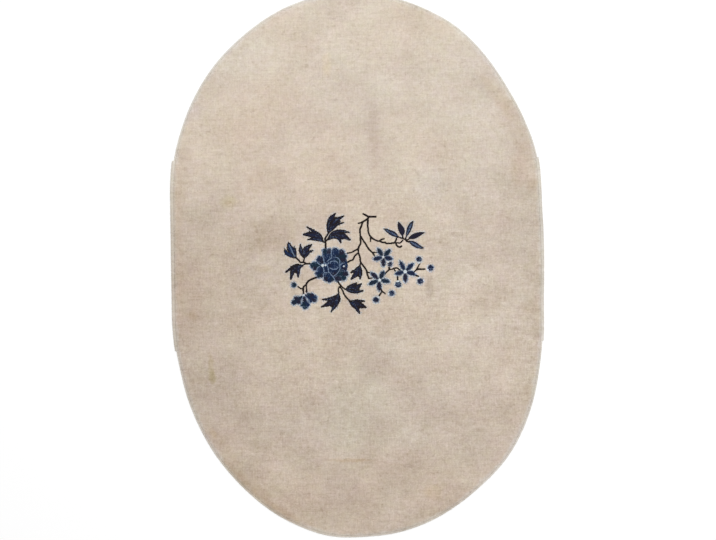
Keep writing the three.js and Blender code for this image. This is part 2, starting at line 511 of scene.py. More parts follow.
def line_of(route, widths, parts=4):
    """A smooth stroke along a route, with a half width at each of its points."""
    return smooth_line([(*place, wide) for place, wide in zip(route, widths)], parts)


def lobe_strokes(base, lobes):
    """The strokes of a cut leaf's lobes."""
    return [line_of((base, *route), (LEAF_FOOT, *widths)) for *route, widths in lobes]


def lay_petals(chart, petals):
    """Petals, each a belly with round lobes in yarns of their own."""
    shapes = []
    for root, (belly, wide, inner), lobes in petals:
        shapes.append((chart.depth([[(*root, PETAL_FOOT * wide), (*belly, wide)]], EDGE_STRAY), inner))
        for lobe, radius, yarn in lobes:
            stroke = [(*belly, LOBE_NECK * radius), (*lobe, radius)]
            shapes.append((chart.depth([stroke], EDGE_STRAY), yarn))
    whole = np.max([depth for depth, _ in shapes], axis=0)
    chart.halo(whole, light=0.5)
    best = np.argmax([depth + chart.rng.normal(0, PETAL_MIX, depth.shape) for depth, _ in shapes], axis=0)
    yarns = np.array([yarn for _, yarn in shapes])[best]
    inside = whole > 0
    chart.yarn[inside] = yarns[inside]
    chart.mottle(inside & (yarns == BLUE), light=0.13, dark=0.4, deep=NAVY)
    chart.mottle(inside & (yarns != BLUE), light=0.06, dark=0.4, deep=NAVY)
    chart.shade_rim(whole)


def lay_blossom(chart, middle, heart, petals):
    """A blossom of separate petals, darker within, round a pale heart."""
    whole = np.full(chart.yarn.shape, FAR_OUTSIDE)
    for bearing, reach, yarn in petals:
        route = [tuple(middle + way_to(bearing) * stop * reach) for stop, _ in BLOSSOM_STOPS]
        depth = chart.depth([line_of(route, [wide for _, wide in BLOSSOM_STOPS], 3)], EDGE_STRAY)
        chart.lay(depth > 0, yarn)
        chart.lay_some(depth > BLOSSOM_RIND, 0.45, NAVY)
        chart.shade_rim(depth, share=0.5)
        whole = np.maximum(whole, depth)
    chart.halo(whole, light=0.45)
    chart.fill([disc(middle, heart)], PALE)


def lay_bud(chart, middle, radius, yarn, bearing):
    """A round bud, with the pale knot at its stalk if it has a bearing."""
    depth = chart.depth([disc(middle, radius)], EDGE_STRAY)
    chart.halo(depth, light=0.35)
    chart.lay(depth > 0, yarn)
    if yarn == BLUE:
        chart.lay_some(depth > BUD_RIND, 0.5, NAVY)
    chart.mottle(depth > BUD_RIND, light=0.3, dark=0.2, deep=BARK)
    chart.shade_rim(depth)
    if bearing is not None:
        chart.fill([disc(tuple(middle + way_to(bearing) * (radius + 1)), BUD_KNOT)], PALE)


def leaf_webs(lobes, web):
    """Strokes that fill the notch between two lobes, up to the web's share of the way to their tips."""
    webs = []
    for one, other in zip(lobes, lobes[1:]):
        first, second, tip = (np.mean([one[k], other[k]], axis=0) for k in range(3))
        end = second + web * (tip - second)
        webs.append([(*first, WEB_ROOT_HALF), (*second, WEB_HALF), (*end, WEB_HALF)])
    return webs


def leaf_teeth(line):
    """Short pointed strokes off both sides of a lobe."""
    teeth = []
    for share, side in LEAF_TEETH:
        k = round(share * (len(line) - 1))
        x, y, wide = line[k]
        ahead = line[k + 1] - line[k - 1]
        way = math.atan2(ahead[1], ahead[0]) + side * math.radians(TOOTH_TURN)
        reach = TOOTH_REACH[0] * wide + TOOTH_REACH[1]
        tip = (x + reach * math.cos(way), y + reach * math.sin(way))
        teeth.append([(x, y, TOOTH_HALVES[0]), (*tip, TOOTH_HALVES[1])])
    return teeth


def lay_leaf(chart, base, lobes, web, inner):
    """A cut leaf: a dark outline, an inside in the inner yarn, and a few lighter tufts along each rib."""
    lines = lobe_strokes(base, lobes)
    webs = leaf_webs(lobes, web)
    teeth = [tooth for line in lines for tooth in leaf_teeth(line)]
    whole = chart.depth(lines + webs + teeth, LEAF_STRAY)
    chart.halo(whole, light=0.08, pale=0.22)
    chart.lay(whole > 0, BARK)
    chart.lay((whole > LEAF_OUTLINE) & (chart.depth(webs) > 0), inner)
    for line in lines:
        depth = chart.depth([line])
        chart.lay_some(depth > 0, 0.5, BARK)
        chart.lay(depth > LEAF_OUTLINE, inner)
    ribs = chart.depth([line_of((base, *route), LEAF_RIB) for *route, _ in lobes])
    own = chart.yarn == inner
    chart.mottle(own, light=0.06, dark=0.6, deep=BARK)
    chart.lay_some((ribs > 0) & own, 0.45, BLUE)
    chart.lay_others((ribs > 0) & own, 0.04, LIGHT)


def lay_lance(chart, route, widths, lightness):
    """A lance leaf: a dark outline and inside, and its share of light tufts along the middle."""
    depth = chart.depth([line_of(route, widths)])
    chart.halo(depth, light=0.12, pale=0.28)
    chart.lay(depth > 0, BARK)
    chart.lay(depth > LANCE_OUTLINE, NAVY)
    if lightness > 0:
        chart.lay_some(depth > LANCE_RIND, 0.85, BLUE)
    streak = chart.depth([line_of(route, LANCE_STREAK)])
    chart.lay_some((streak > 0) & (depth > LEAF_OUTLINE), lightness, LIGHT)


def draw_spray(x, y, seed):
    """The chart of the whole spray, for tufts at x and y in millimetres."""
    chart = Chart(x, y, seed)
    for route, start, end in LIMBS:
        widths = np.linspace(start, end, len(route))
        chart.fill([line_of(route, widths)], BARK)
    for leaf in CUT_LEAVES:
        lay_leaf(chart, *leaf, NAVY)
    lay_leaf(chart, *LIGHT_LEAF, BLUE)
    rib = line_of(LIGHT_LEAF_RIB, [LIGHT_RIB_HALF] * len(LIGHT_LEAF_RIB))
    chart.lay_some(chart.depth([rib]) > 0, 0.8, LIGHT)
    for *route, widths, lightness in LANCE_LEAVES:
        lay_lance(chart, route, widths, lightness)
    chart.lay((chart.depth([disc(*GREEN_TIP)]) > 0) & (chart.yarn != GROUND), TEAL)
    chart.fill(PEONY_GROUND, BLUE)
    lay_petals(chart, PEONY_PETALS)
    lay_petals(chart, HALF_OPEN_PETALS)
    flowers = chart.yarn != GROUND
    for route in PETAL_LINES:
        line = chart.depth([line_of(route, [PETAL_LINE_HALF] * len(route))])
        chart.lay((line > 0) & flowers, LIGHT)
    for middle, radius in HEARTS:
        chart.fill([disc(middle, radius)], PALE)
    for blossom in BLOSSOMS:
        lay_blossom(chart, *blossom)
    for bud in BUDS:
        lay_bud(chart, *bud)
    return chart.yarn


# The pile, as one surface of tufts that is then shared out to its pieces

class Surface:
    """Points and triangles gathered for the pile. Plan is each point's place in its flat texture layout."""

    def __init__(self):
        self.points, self.plan, self.faces, self.owner = [], [], [], []
        self.count = 0

    def add_points(self, places, plan=None):
        """Adds points and gives their numbers."""
        places = places.reshape(-1, 3)
        self.points.append(places)
        self.plan.append(places[:, :2] if plan is None else plan)
        self.count += len(places)
        return np.arange(self.count - len(places), self.count)

    def add_faces(self, faces, owner):
        faces = np.asarray(faces).reshape(-1, 3)
        self.faces.append(faces)
        self.owner.append(np.broadcast_to(owner, len(faces)))

    def close(self):
        """Joins what was gathered, and adds the normals."""
        self.points, self.plan = np.vstack(self.points), np.vstack(self.plan)
        self.faces, self.owner = np.vstack(self.faces), np.concatenate(self.owner)
        self.face_normals, self.normals = normals_of(self.points, self.faces)
        return self


def normals_of(points, faces):
    """The normals of the faces, and of the points as the mean of their faces by area."""
    a, b, c = (points[faces[:, k]] for k in range(3))
    flat = np.cross(b - a, c - a)
    total = np.stack(
        [np.bincount(faces.ravel(), np.repeat(flat[:, k], 3), len(points)) for k in range(3)], axis=1
    )
    unit = lambda v: v / np.maximum(np.linalg.norm(v, axis=1, keepdims=True), 1e-20)
    return unit(flat), unit(total)


def tuft_faces(corners, peaks):
    """Four triangles to each tuft, from its corners, which are one more each way than tufts, to its peak."""
    ring = [corners[:-1, :-1], corners[:-1, 1:], corners[1:, 1:], corners[1:, :-1]]
    sides = [np.stack([ring[k], ring[(k + 1) % 4], peaks], axis=-1) for k in range(4)]
    return np.stack(sides, axis=-2)


# Where the whole knots begin, in knots from the rim, and how far their points stray, in knots, and spread in
# height, as shares of the relief and of the unevenness.
WHOLE_FROM = 1.3
CORNER_STRAY = 0.13
PEAK_STRAY = 0.07
VALLEY_SPREAD = 0.12
ROW_SPREAD = 0.35

# The same for the splayed tufts of the spray, in tufts. Their valleys are lifted by a share of the relief,
# and each tuft keeps a share of its knot's unevenness.
TUFT_CORNER_STRAY = 0.26
TUFT_PEAK_STRAY = 0.08
TUFT_VALLEY_SPREAD = 0.1
TUFT_SPREAD = 0.5
TUFT_VALLEY_LIFT = 0.45
KNOT_SHARE = 0.6

# What the settings ask of the pile.
Pile = collections.namedtuple("Pile", "knot relief lean unevenness splay seed")


def knot_grid(pile, rng):
    """The corners of all knots in the rug's box, and which knots are whole ones inside the rim."""
    across, along = (math.ceil(np.abs(rim.line[:, k]).max() / pile.knot) for k in (0, 1))
    x, y = np.arange(-across, across + 1) * pile.knot, np.arange(-along, along + 1) * pile.knot
    corners = np.stack(np.meshgrid(x, y), axis=-1)
    middles = (corners[:-1, :-1] + corners[1:, 1:]) / 2
    whole = rim.inset(middles) > WHOLE_FROM * pile.knot

    # Each corner touches four knots. Those at the border of the whole knots stay square.
    beside = np.zeros(corners.shape[:2], int)
    for rows in (slice(None, -1), slice(1, None)):
        for cols in (slice(None, -1), slice(1, None)):
            beside[rows, cols] += whole
    loose = (beside == 4)[..., None]
    corners = corners + loose * rng.uniform(-CORNER_STRAY, CORNER_STRAY, corners.shape) * pile.knot
    valley = rim.shoulder(rim.inset(corners)) - pile.relief
    valley = valley + rng.normal(0, VALLEY_SPREAD * pile.relief, corners.shape[:2])
    return np.concatenate([corners, valley[..., None]], axis=-1), whole


def spray_knots(pile):
    """The yarns in the spray's window, by knot row, tuft, knot column and tuft, and its first knot's number.

    Knots are numbered from the rug's middle.
    """
    first = np.floor(np.array(SPRAY_WINDOW[0]) * MM / pile.knot).astype(int)
    last = np.ceil(np.array(SPRAY_WINDOW[1]) * MM / pile.knot).astype(int)
    cols, rows = last - first
    x, y = (
        (np.arange(count * pile.splay) + 0.5) * pile.knot / pile.splay + start * pile.knot
        for count, start in zip((cols, rows), first)
    )
    yarn = draw_spray(x / MM, y / MM, pile.seed + 1)
    return yarn.reshape(rows, pile.splay, cols, pile.splay), first


@functools.lru_cache(maxsize=1)
def pile_surface(pile):
    """The pile of the whole rug, with each face owned by its yarn, and what spray_knots gives."""
    rng = np.random.default_rng(pile.seed)
    surface = Surface()
    corners, whole = knot_grid(pile, rng)
    in_knots, first = spray_knots(pile)
    dyed = (in_knots > 0).any(axis=(1, 3))
    row, col = first[1] + whole.shape[0] // 2, first[0] + whole.shape[1] // 2
    rows, cols = dyed.shape
    window = slice(row, row + rows), slice(col, col + cols)
    window_corners = slice(row, row + rows + 1), slice(col, col + cols + 1)
    split = np.zeros_like(whole)
    split[window] = dyed

    row_height = rng.normal(0, ROW_SPREAD * pile.unevenness, len(whole))[:, None]
    height = row_height + rng.normal(0, pile.unevenness, whole.shape)
    middles = (corners[:-1, :-1] + corners[:-1, 1:] + corners[1:, 1:] + corners[1:, :-1]) / 4
    peaks = middles.copy()
    peaks[..., :2] += rng.normal(0, PEAK_STRAY * pile.knot, whole.shape + (2,)) + (0, -pile.lean)
    peaks[..., 2] = rim.shoulder(rim.inset(middles)) + height
    corner_ids = surface.add_points(corners).reshape(corners.shape[:2])
    peak_ids = surface.add_points(peaks).reshape(peaks.shape[:2])
    surface.add_faces(tuft_faces(corner_ids, peak_ids)[whole & ~split], GROUND)

    block, block_ids = corners[window_corners], corner_ids[window_corners]
    add_splayed(surface, block, block_ids, height[window], in_knots, pile, rng)
    add_shoulder(surface, corners, corner_ids, whole, pile, rng)
    return surface.close(), in_knots, first


def add_splayed(surface, block, block_ids, height, in_knots, pile, rng):
    """The spray's knots, each in splay by splay tufts. Their outer corners lie on the whole knots' sides."""
    rows, splay, cols, _ = in_knots.shape
    yarn = in_knots.reshape(rows * splay, cols * splay)
    dyed = (in_knots > 0).any(axis=(1, 3))
    at = [np.arange(n * splay + 1) for n in (rows, cols)]
    base = [np.minimum(a // splay, n - 1) for a, n in zip(at, (rows, cols))]
    part = [a / splay - b for a, b in zip(at, base)]
    fy, fx = part[0][:, None, None], part[1][None, :, None]
    low, high = block[base[0]], block[base[0] + 1]
    corners = (low[:, base[1]] * (1 - fx) + low[:, base[1] + 1] * fx) * (1 - fy) + (
        high[:, base[1]] * (1 - fx) + high[:, base[1] + 1] * fx
    ) * fy
    inner = ((at[0] % splay > 0)[:, None] & (at[1] % splay > 0)[None, :])[..., None]
    shift = rng.uniform(-TUFT_CORNER_STRAY, TUFT_CORNER_STRAY, corners.shape[:2] + (2,)) * pile.knot / splay
    spread = rng.normal(0, TUFT_VALLEY_SPREAD * pile.relief, corners.shape[:2])
    lift = (TUFT_VALLEY_LIFT * pile.relief + spread)[..., None]
    corners = corners + inner * np.concatenate([shift, lift], axis=-1)
    peaks = (corners[:-1, :-1] + corners[:-1, 1:] + corners[1:, 1:] + corners[1:, :-1]) / 4
    shift = rng.normal(0, TUFT_PEAK_STRAY, yarn.shape + (2,)) * pile.knot / splay
    peaks[..., :2] += shift + (0, -pile.lean / splay)
    of_knot = np.repeat(np.repeat(height, splay, 0), splay, 1)
    uneven = KNOT_SHARE * of_knot + rng.normal(0, TUFT_SPREAD * pile.unevenness, yarn.shape)
    peaks[..., 2] = rim.heights[-1] + uneven
    ids = surface.add_points(corners).reshape(corners.shape[:2])
    ids[::splay, ::splay] = block_ids
    peak_ids = surface.add_points(peaks).reshape(yarn.shape)
    shown = np.repeat(np.repeat(dyed, splay, 0), splay, 1)
    surface.add_faces(tuft_faces(ids, peak_ids)[shown], np.repeat(yarn[shown], 4))


# The shoulder's outer line: its step in knots, its inset, and how wide the wall below it is in the texture.
OUTER_STEP = 0.95
OUTER_INSET = 0.25 * MM
WALL_PLAN = 3 * MM

# The shoulder's rows of free points: their step and insets, their stray and their clearance from the whole
# knots, in knots, and how deep the valleys drop and all heights spread, as shares of the relief.
ROW_STEP = 0.85
SHOULDER_ROWS = (0.35, 0.8, 1.35, 1.95, 2.6)
FREE_STRAY = 0.15
FREE_CLEARANCE = 0.3
FREE_DROP = 0.7
FREE_SPREAD = 0.2


def in_whole(whole, knot, places, reach=0.0):
    """Which places are in the whole knots, or within reach of them."""
    found = np.zeros(len(places), bool)
    for dx in (-reach, 0, reach):
        for dy in (-reach, 0, reach):
            cell = np.floor((places + (dx, dy)) / knot).astype(int)
            found |= whole[cell[:, 1] + whole.shape[0] // 2, cell[:, 0] + whole.shape[1] // 2]
    return found


def whole_border(whole, corner_ids):
    """The sides of the whole knots that face no other, each as the numbers of its two corners."""
    found = []
    padded = np.pad(whole, 1)
    sides = (
        (padded[:-2, 1:-1], (0, 0), (0, 1)),
        (padded[1:-1, 2:], (0, 1), (1, 1)),
        (padded[2:, 1:-1], (1, 1), (1, 0)),
        (padded[1:-1, :-2], (1, 0), (0, 0)),
    )
    for beside, start, end in sides:
        r, c = np.nonzero(whole & ~beside)
        found.append(np.stack([corner_ids[r + down, c + right] for down, right in (start, end)], 1))
    return np.concatenate(found)


def add_shoulder(surface, corners, corner_ids, whole, pile, rng):
    """The pile between the last whole knots and the rim, and its wall down to the foundation."""
    knot, relief = pile.knot, pile.relief
    step_ids, step_edges = np.unique(whole_border(whole, corner_ids), return_inverse=True)
    step_edges = step_edges.reshape(-1, 2)
    flat = corners.reshape(-1, 3)
    step_points = flat[step_ids - corner_ids[0, 0], :2]
    outer = rim.moved_in(rim.even(OUTER_STEP * knot), OUTER_INSET)
    rows = []
    for inset in SHOULDER_ROWS:
        row = rim.moved_in(rim.even(ROW_STEP * knot), inset * knot)
        row = row + rng.uniform(-FREE_STRAY, FREE_STRAY, row.shape) * knot
        rows.append(row[~in_whole(whole, knot, row, FREE_CLEARANCE * knot)])
    free = np.vstack(rows)
    places = np.vstack([outer, step_points, free])
    ring = np.arange(len(outer))
    edges = np.vstack([np.stack([ring, np.roll(ring, -1)], 1), step_edges + len(outer)])
    inside_only, tolerance = 1, 1e-4
    made = delaunay_2d_cdt([tuple(p / MM) for p in places], edges.tolist(), [], inside_only, tolerance)
    source = np.array([ids[0] for ids in made[3]])
    faces = source[np.array(made[2])]
    faces = faces[~in_whole(whole, knot, places[faces].mean(1))]
    a, b, c = (places[faces[:, k]] for k in range(3))
    turned = np.cross(b - a, c - a) < 0
    faces[turned] = faces[turned][:, ::-1]

    # Odd points of the free rows stand as peaks and even ones lie as valleys.
    height = rim.shoulder(rim.inset(places))
    free_at = len(outer) + len(step_points)
    height[free_at::2] -= FREE_DROP * relief
    height[free_at:] += rng.normal(0, FREE_SPREAD * relief, len(free))
    ids = surface.add_points(np.column_stack([places, height]))
    ids[len(outer) : free_at] = step_ids
    surface.add_faces(ids[faces], GROUND)

    foot = rim.moved_in(outer, 0.0)
    away = outer / np.linalg.norm(outer, axis=1, keepdims=True)
    standing = np.column_stack([foot, np.full(len(foot), rim.heights[0])])
    down, up = surface.add_points(standing, foot + away * WALL_PLAN), ids[: len(outer)]
    wall = np.stack([down, np.roll(down, -1), np.roll(up, -1), down, np.roll(up, -1), up], axis=1)
    surface.add_faces(wall.reshape(-1, 3), GROUND)


# Pieces

def fresh_object(name, data):
    """Links data as a named object, in place of an earlier one of that name."""
    earlier = bpy.data.objects.get(name)
    if earlier is not None:
        bpy.data.objects.remove(earlier)
    made = bpy.data.objects.new(name, data)
    bpy.context.scene.collection.objects.link(made)
    return made


def fresh_piece(name, mesh, material, replaced=()):
    """Links a mesh as a named piece that rides on the rug."""
    piece = fresh_object(name, mesh)
    mesh.materials.append(material)
    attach(piece, BODY)
    if replaced:
        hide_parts(*replaced)


def mesh_of(name, points, faces, layout, loop_normals=None):
    """A mesh from points, faces of one size or a list of them, and a layout of places by face corner."""
    mesh = bpy.data.meshes.new(name)
    listed = isinstance(faces, list)
    sizes = np.array([len(face) for face in faces]) if listed else np.full(len(faces), faces.shape[1])
    corners = np.concatenate(faces) if listed else faces.ravel()
    mesh.vertices.add(len(points))
    mesh.vertices.foreach_set("co", np.asarray(points, np.float32).ravel())
    mesh.loops.add(len(corners))
    mesh.loops.foreach_set("vertex_index", corners.astype(np.int32))
    mesh.polygons.add(len(sizes))
    mesh.polygons.foreach_set("loop_start", np.concatenate([[0], np.cumsum(sizes)[:-1]]).astype(np.int32))
    mesh.polygons.foreach_set("use_smooth", np.ones(len(sizes), bool))
    chart = mesh.uv_layers.new(name="OFBake")
    mesh.update(calc_edges=True)
    chart.data.foreach_set("uv", np.asarray(layout, np.float32).ravel())
    mesh.validate()
    if loop_normals is not None:
        mesh.normals_split_custom_set(loop_normals.reshape(-1, 3).tolist())
    return mesh


def within(places, low, high):
    """Places as shares of the box from low to high, kept a little inside it."""
    return 0.004 + 0.992 * (places - low) / (high - low)


def pile_mesh(name, surface, chosen, layout_of, softness, backs=None):
    """The chosen faces of the pile as a mesh, with any backs of its knots.

    Softness blends each face's own normal with the points'.
    """
    faces = surface.faces[chosen]
    used, compact = np.unique(faces, return_inverse=True)
    normals = softness * surface.normals[faces] + (1 - softness) * surface.face_normals[chosen][:, None]
    normals = normals / np.linalg.norm(normals, axis=-1, keepdims=True)
    points, compact, layout = surface.points[used], compact.reshape(-1, 3), layout_of(surface.plan[faces])
    if backs is not None:
        back_points, back_faces, back_layout = backs
        flat, _ = normals_of(back_points, back_faces)
        normals = np.vstack([normals, np.repeat(flat[:, None], 3, axis=1)])
        compact = np.vstack([compact, back_faces + len(points)])
        points = np.vstack([points, back_points])
        layout = np.vstack([layout, back_layout])
    return mesh_of(name, points, compact, layout, normals)


def folded_layout(plan):
    """A long strip folded at the rug's middle, so that its two halves lie side by side in the texture."""
    low, high = plan.reshape(-1, 2).min(0), plan.reshape(-1, 2).max(0)
    upper = (plan[..., 1].mean(1) > 0)[:, None]
    across = (plan[..., 0] - low[0]) / (high[0] - low[0])
    along = np.where(upper, plan[..., 1] / high[1], plan[..., 1] / low[1])
    return np.stack([0.004 + 0.488 * across + np.where(upper, 0, 0.5), 0.004 + 0.99 * along], axis=-1)


# Materials

class Bench:
    """Adds nodes to a tree, feeding each socket a value or another node's socket."""

    def __init__(self, tree):
        self.tree = tree

    def feed(self, socket, value):
        if isinstance(value, bpy.types.NodeSocket):
            self.tree.links.new(value, socket)
        else:
            socket.default_value = value

    def add(self, kind, feeds=None, **settings):
        node = self.tree.nodes.new(kind)
        for name, value in settings.items():
            setattr(node, name, value)
        for key, value in (feeds or {}).items():
            self.feed(node.inputs[key], value)
        return node

    def math(self, operation, *values):
        return self.add("ShaderNodeMath", dict(enumerate(values)), operation=operation).outputs[0]

    def vector(self, operation, *values):
        return self.add("ShaderNodeVectorMath", dict(enumerate(values)), operation=operation).outputs[0]

    def scaled(self, vector, amount):
        return self.add("ShaderNodeVectorMath", {0: vector, "Scale": amount}, operation="SCALE").outputs[0]

    def noise(self, vector, scale, detail=2.0, roughness=0.5):
        feeds = {"Vector": vector, "Scale": scale, "Detail": detail, "Roughness": roughness}
        return self.add("ShaderNodeTexNoise", feeds).outputs["Fac"]

    def swing(self, value, amount):
        """How far a value lies over a half, times an amount."""
        return self.math("MULTIPLY", self.math("SUBTRACT", value, 0.5), amount)

    def product(self, one, other):
        """Two colours multiplied."""
        return self.blend(1.0, one, other, "MULTIPLY")

    def strays(self, vector, scale, reach):
        """A place moved by up to half of reach each way, with the grain of a fine noise."""
        feeds = {"Vector": vector, "Scale": scale, "Detail": 1.0}
        grain = self.add("ShaderNodeTexNoise", feeds).outputs["Color"]
        return self.vector("ADD", vector, self.scaled(self.vector("SUBTRACT", grain, (0.5, 0.5, 0.5)), reach))

    def cell(self, vector):
        """A value of its own for each unit cell."""
        whole = self.vector("FLOOR", vector)
        return self.add("ShaderNodeTexWhiteNoise", {"Vector": whole}).outputs["Value"]

    def ranged(self, value, low, high, to_low, to_high, smooth=True):
        feeds = {"Value": value, "From Min": low, "From Max": high, "To Min": to_low, "To Max": to_high}
        kind = "SMOOTHSTEP" if smooth else "LINEAR"
        return self.add("ShaderNodeMapRange", feeds, interpolation_type=kind, clamp=True).outputs[0]

    def blend(self, factor, one, other, mode="MIX"):
        colours = {0: factor, 6: one, 7: other}
        return self.add("ShaderNodeMix", colours, data_type="RGBA", blend_type=mode).outputs[2]

    def summed(self, parts):
        """One plus the swings of each (value, amount)."""
        total = 1.0
        for value, amount in parts:
            total = self.math("ADD", self.swing(value, amount), total)
        return total


def new_group(name, inputs, outputs):
    """An empty shader node group with named sockets, its bench, and its input and output nodes."""
    group = bpy.data.node_groups.new(name, "ShaderNodeTree")
    for label, kind, default in inputs:
        group.interface.new_socket(label, in_out="INPUT", socket_type=kind).default_value = default
    for label, kind in outputs:
        group.interface.new_socket(label, in_out="OUTPUT", socket_type=kind)
    bench = Bench(group)
    return group, bench, bench.add("NodeGroupInput").outputs, bench.add("NodeGroupOutput")


def spun_wool_group():
    """Uneven wool: knot by knot, along the weft rows, along the warps, and in soft clouds of dye and wear."""
    number, colour = "NodeSocketFloat", "NodeSocketColor"
    group, bench, given, out = new_group(
        "spun_wool",
        (
            ("Yarn", colour, (0.5, 0.5, 0.5, 1)),
            ("Knot size", number, 0.0034),
            ("Knots", number, 0.1),
            ("Rows", number, 0.1),
            ("Warps", number, 0.05),
            ("Clouds", number, 0.1),
            ("Tint", number, 0.1),
        ),
        (("Color", colour), ("Height", number)),
    )
    place = bench.add("ShaderNodeTexCoord").outputs["Object"]
    flat = bench.vector("MULTIPLY", place, (1, 1, 0))
    flat_by = lambda across, along: bench.vector("MULTIPLY", flat, (across, along, 0))
    pitch = bench.math("DIVIDE", 1.0, given["Knot size"])
    frayed = bench.vector("MULTIPLY", bench.strays(flat, 700.0, 0.006), (0.8, 1, 0))
    knots = bench.cell(bench.scaled(frayed, pitch))
    laid = flat_by(0.88, 1.06)
    near = bench.noise(flat_by(0.75, 1.12), 60.0, 3.0, 0.85)
    swing = bench.summed((
        (knots, given["Knots"]),
        (bench.noise(flat_by(30, 240), 1.0), given["Rows"]),
        (bench.noise(flat_by(5, 80), 1.0, 2.0, 1.0), given["Rows"]),
        (bench.noise(flat_by(240, 30), 1.0), given["Warps"]),
        (near, bench.math("MULTIPLY", given["Clouds"], 1.15)),
        (bench.noise(laid, 9.0, 3.0), given["Clouds"]),
    ))

    # The foot end is more trodden, and small dark specks lie all over.
    along = bench.add("ShaderNodeSeparateXYZ", {0: place}).outputs["Y"]
    trodden = bench.ranged(along, -0.1, 0.5, 1.36, 1.0)
    specks = bench.ranged(bench.noise(laid, 60.0), 0.59, 0.72, 0, -0.12)
    swing = bench.math("ADD", bench.math("MULTIPLY", bench.math("SUBTRACT", swing, 1.0), trodden), specks)
    swing = bench.vector("MULTIPLY_ADD", swing, (0.87, 1.0, 1.14), (1, 1, 1))

    # Tints: rose and green in specks, yellow and blue in the dye, warm and cool over decimetres.
    speck = bench.ranged(bench.noise(flat, 10.0, 5.0, 0.85), 0.35, 0.65, 0, 1, smooth=False)
    speck = bench.blend(speck, (1.022, 0.978, 1.024, 1), (0.978, 1.022, 0.976, 1))
    dye = bench.ranged(bench.noise(laid, 45.0, 3.0, 0.6), 0.3, 0.7, 0, 1, smooth=False)
    dye = bench.blend(dye, (1, 1, 1.055, 1), (1, 1, 0.945, 1))
    dyed = bench.product(bench.product(given["Yarn"], speck), dye)
    toned = bench.vector("MULTIPLY", bench.blend(given["Tint"], given["Yarn"], dyed), swing)
    warm = bench.vector("MULTIPLY", toned, (1.02, 1.0, 0.967))
    cool = bench.vector("MULTIPLY", toned, (0.983, 1.0, 1.026))
    broad = bench.noise(bench.vector("ADD", flat, (3.7, 1.3, 0)), 3.0)
    turn = bench.math("ADD", bench.swing(broad, 3.0), 0.5)
    tinted = bench.blend(bench.ranged(turn, 0, 1, 0, 1, smooth=False), cool, warm)
    bench.feed(out.inputs["Color"], bench.blend(given["Tint"], toned, tinted))

    fibre = bench.math("MULTIPLY", bench.noise(place, 1900.0, 2.0, 0.7), 0.4)
    strands = bench.math("MULTIPLY", bench.noise(place, 620.0, 1.0), 0.6)
    bench.feed(out.inputs["Height"], bench.math("ADD", fibre, strands))
    return group


# The band along the rim in which the pile bleaches, and in whose outer part painted light lifts the shade at
# the shoulder.
RIM_BAND = 30 * MM

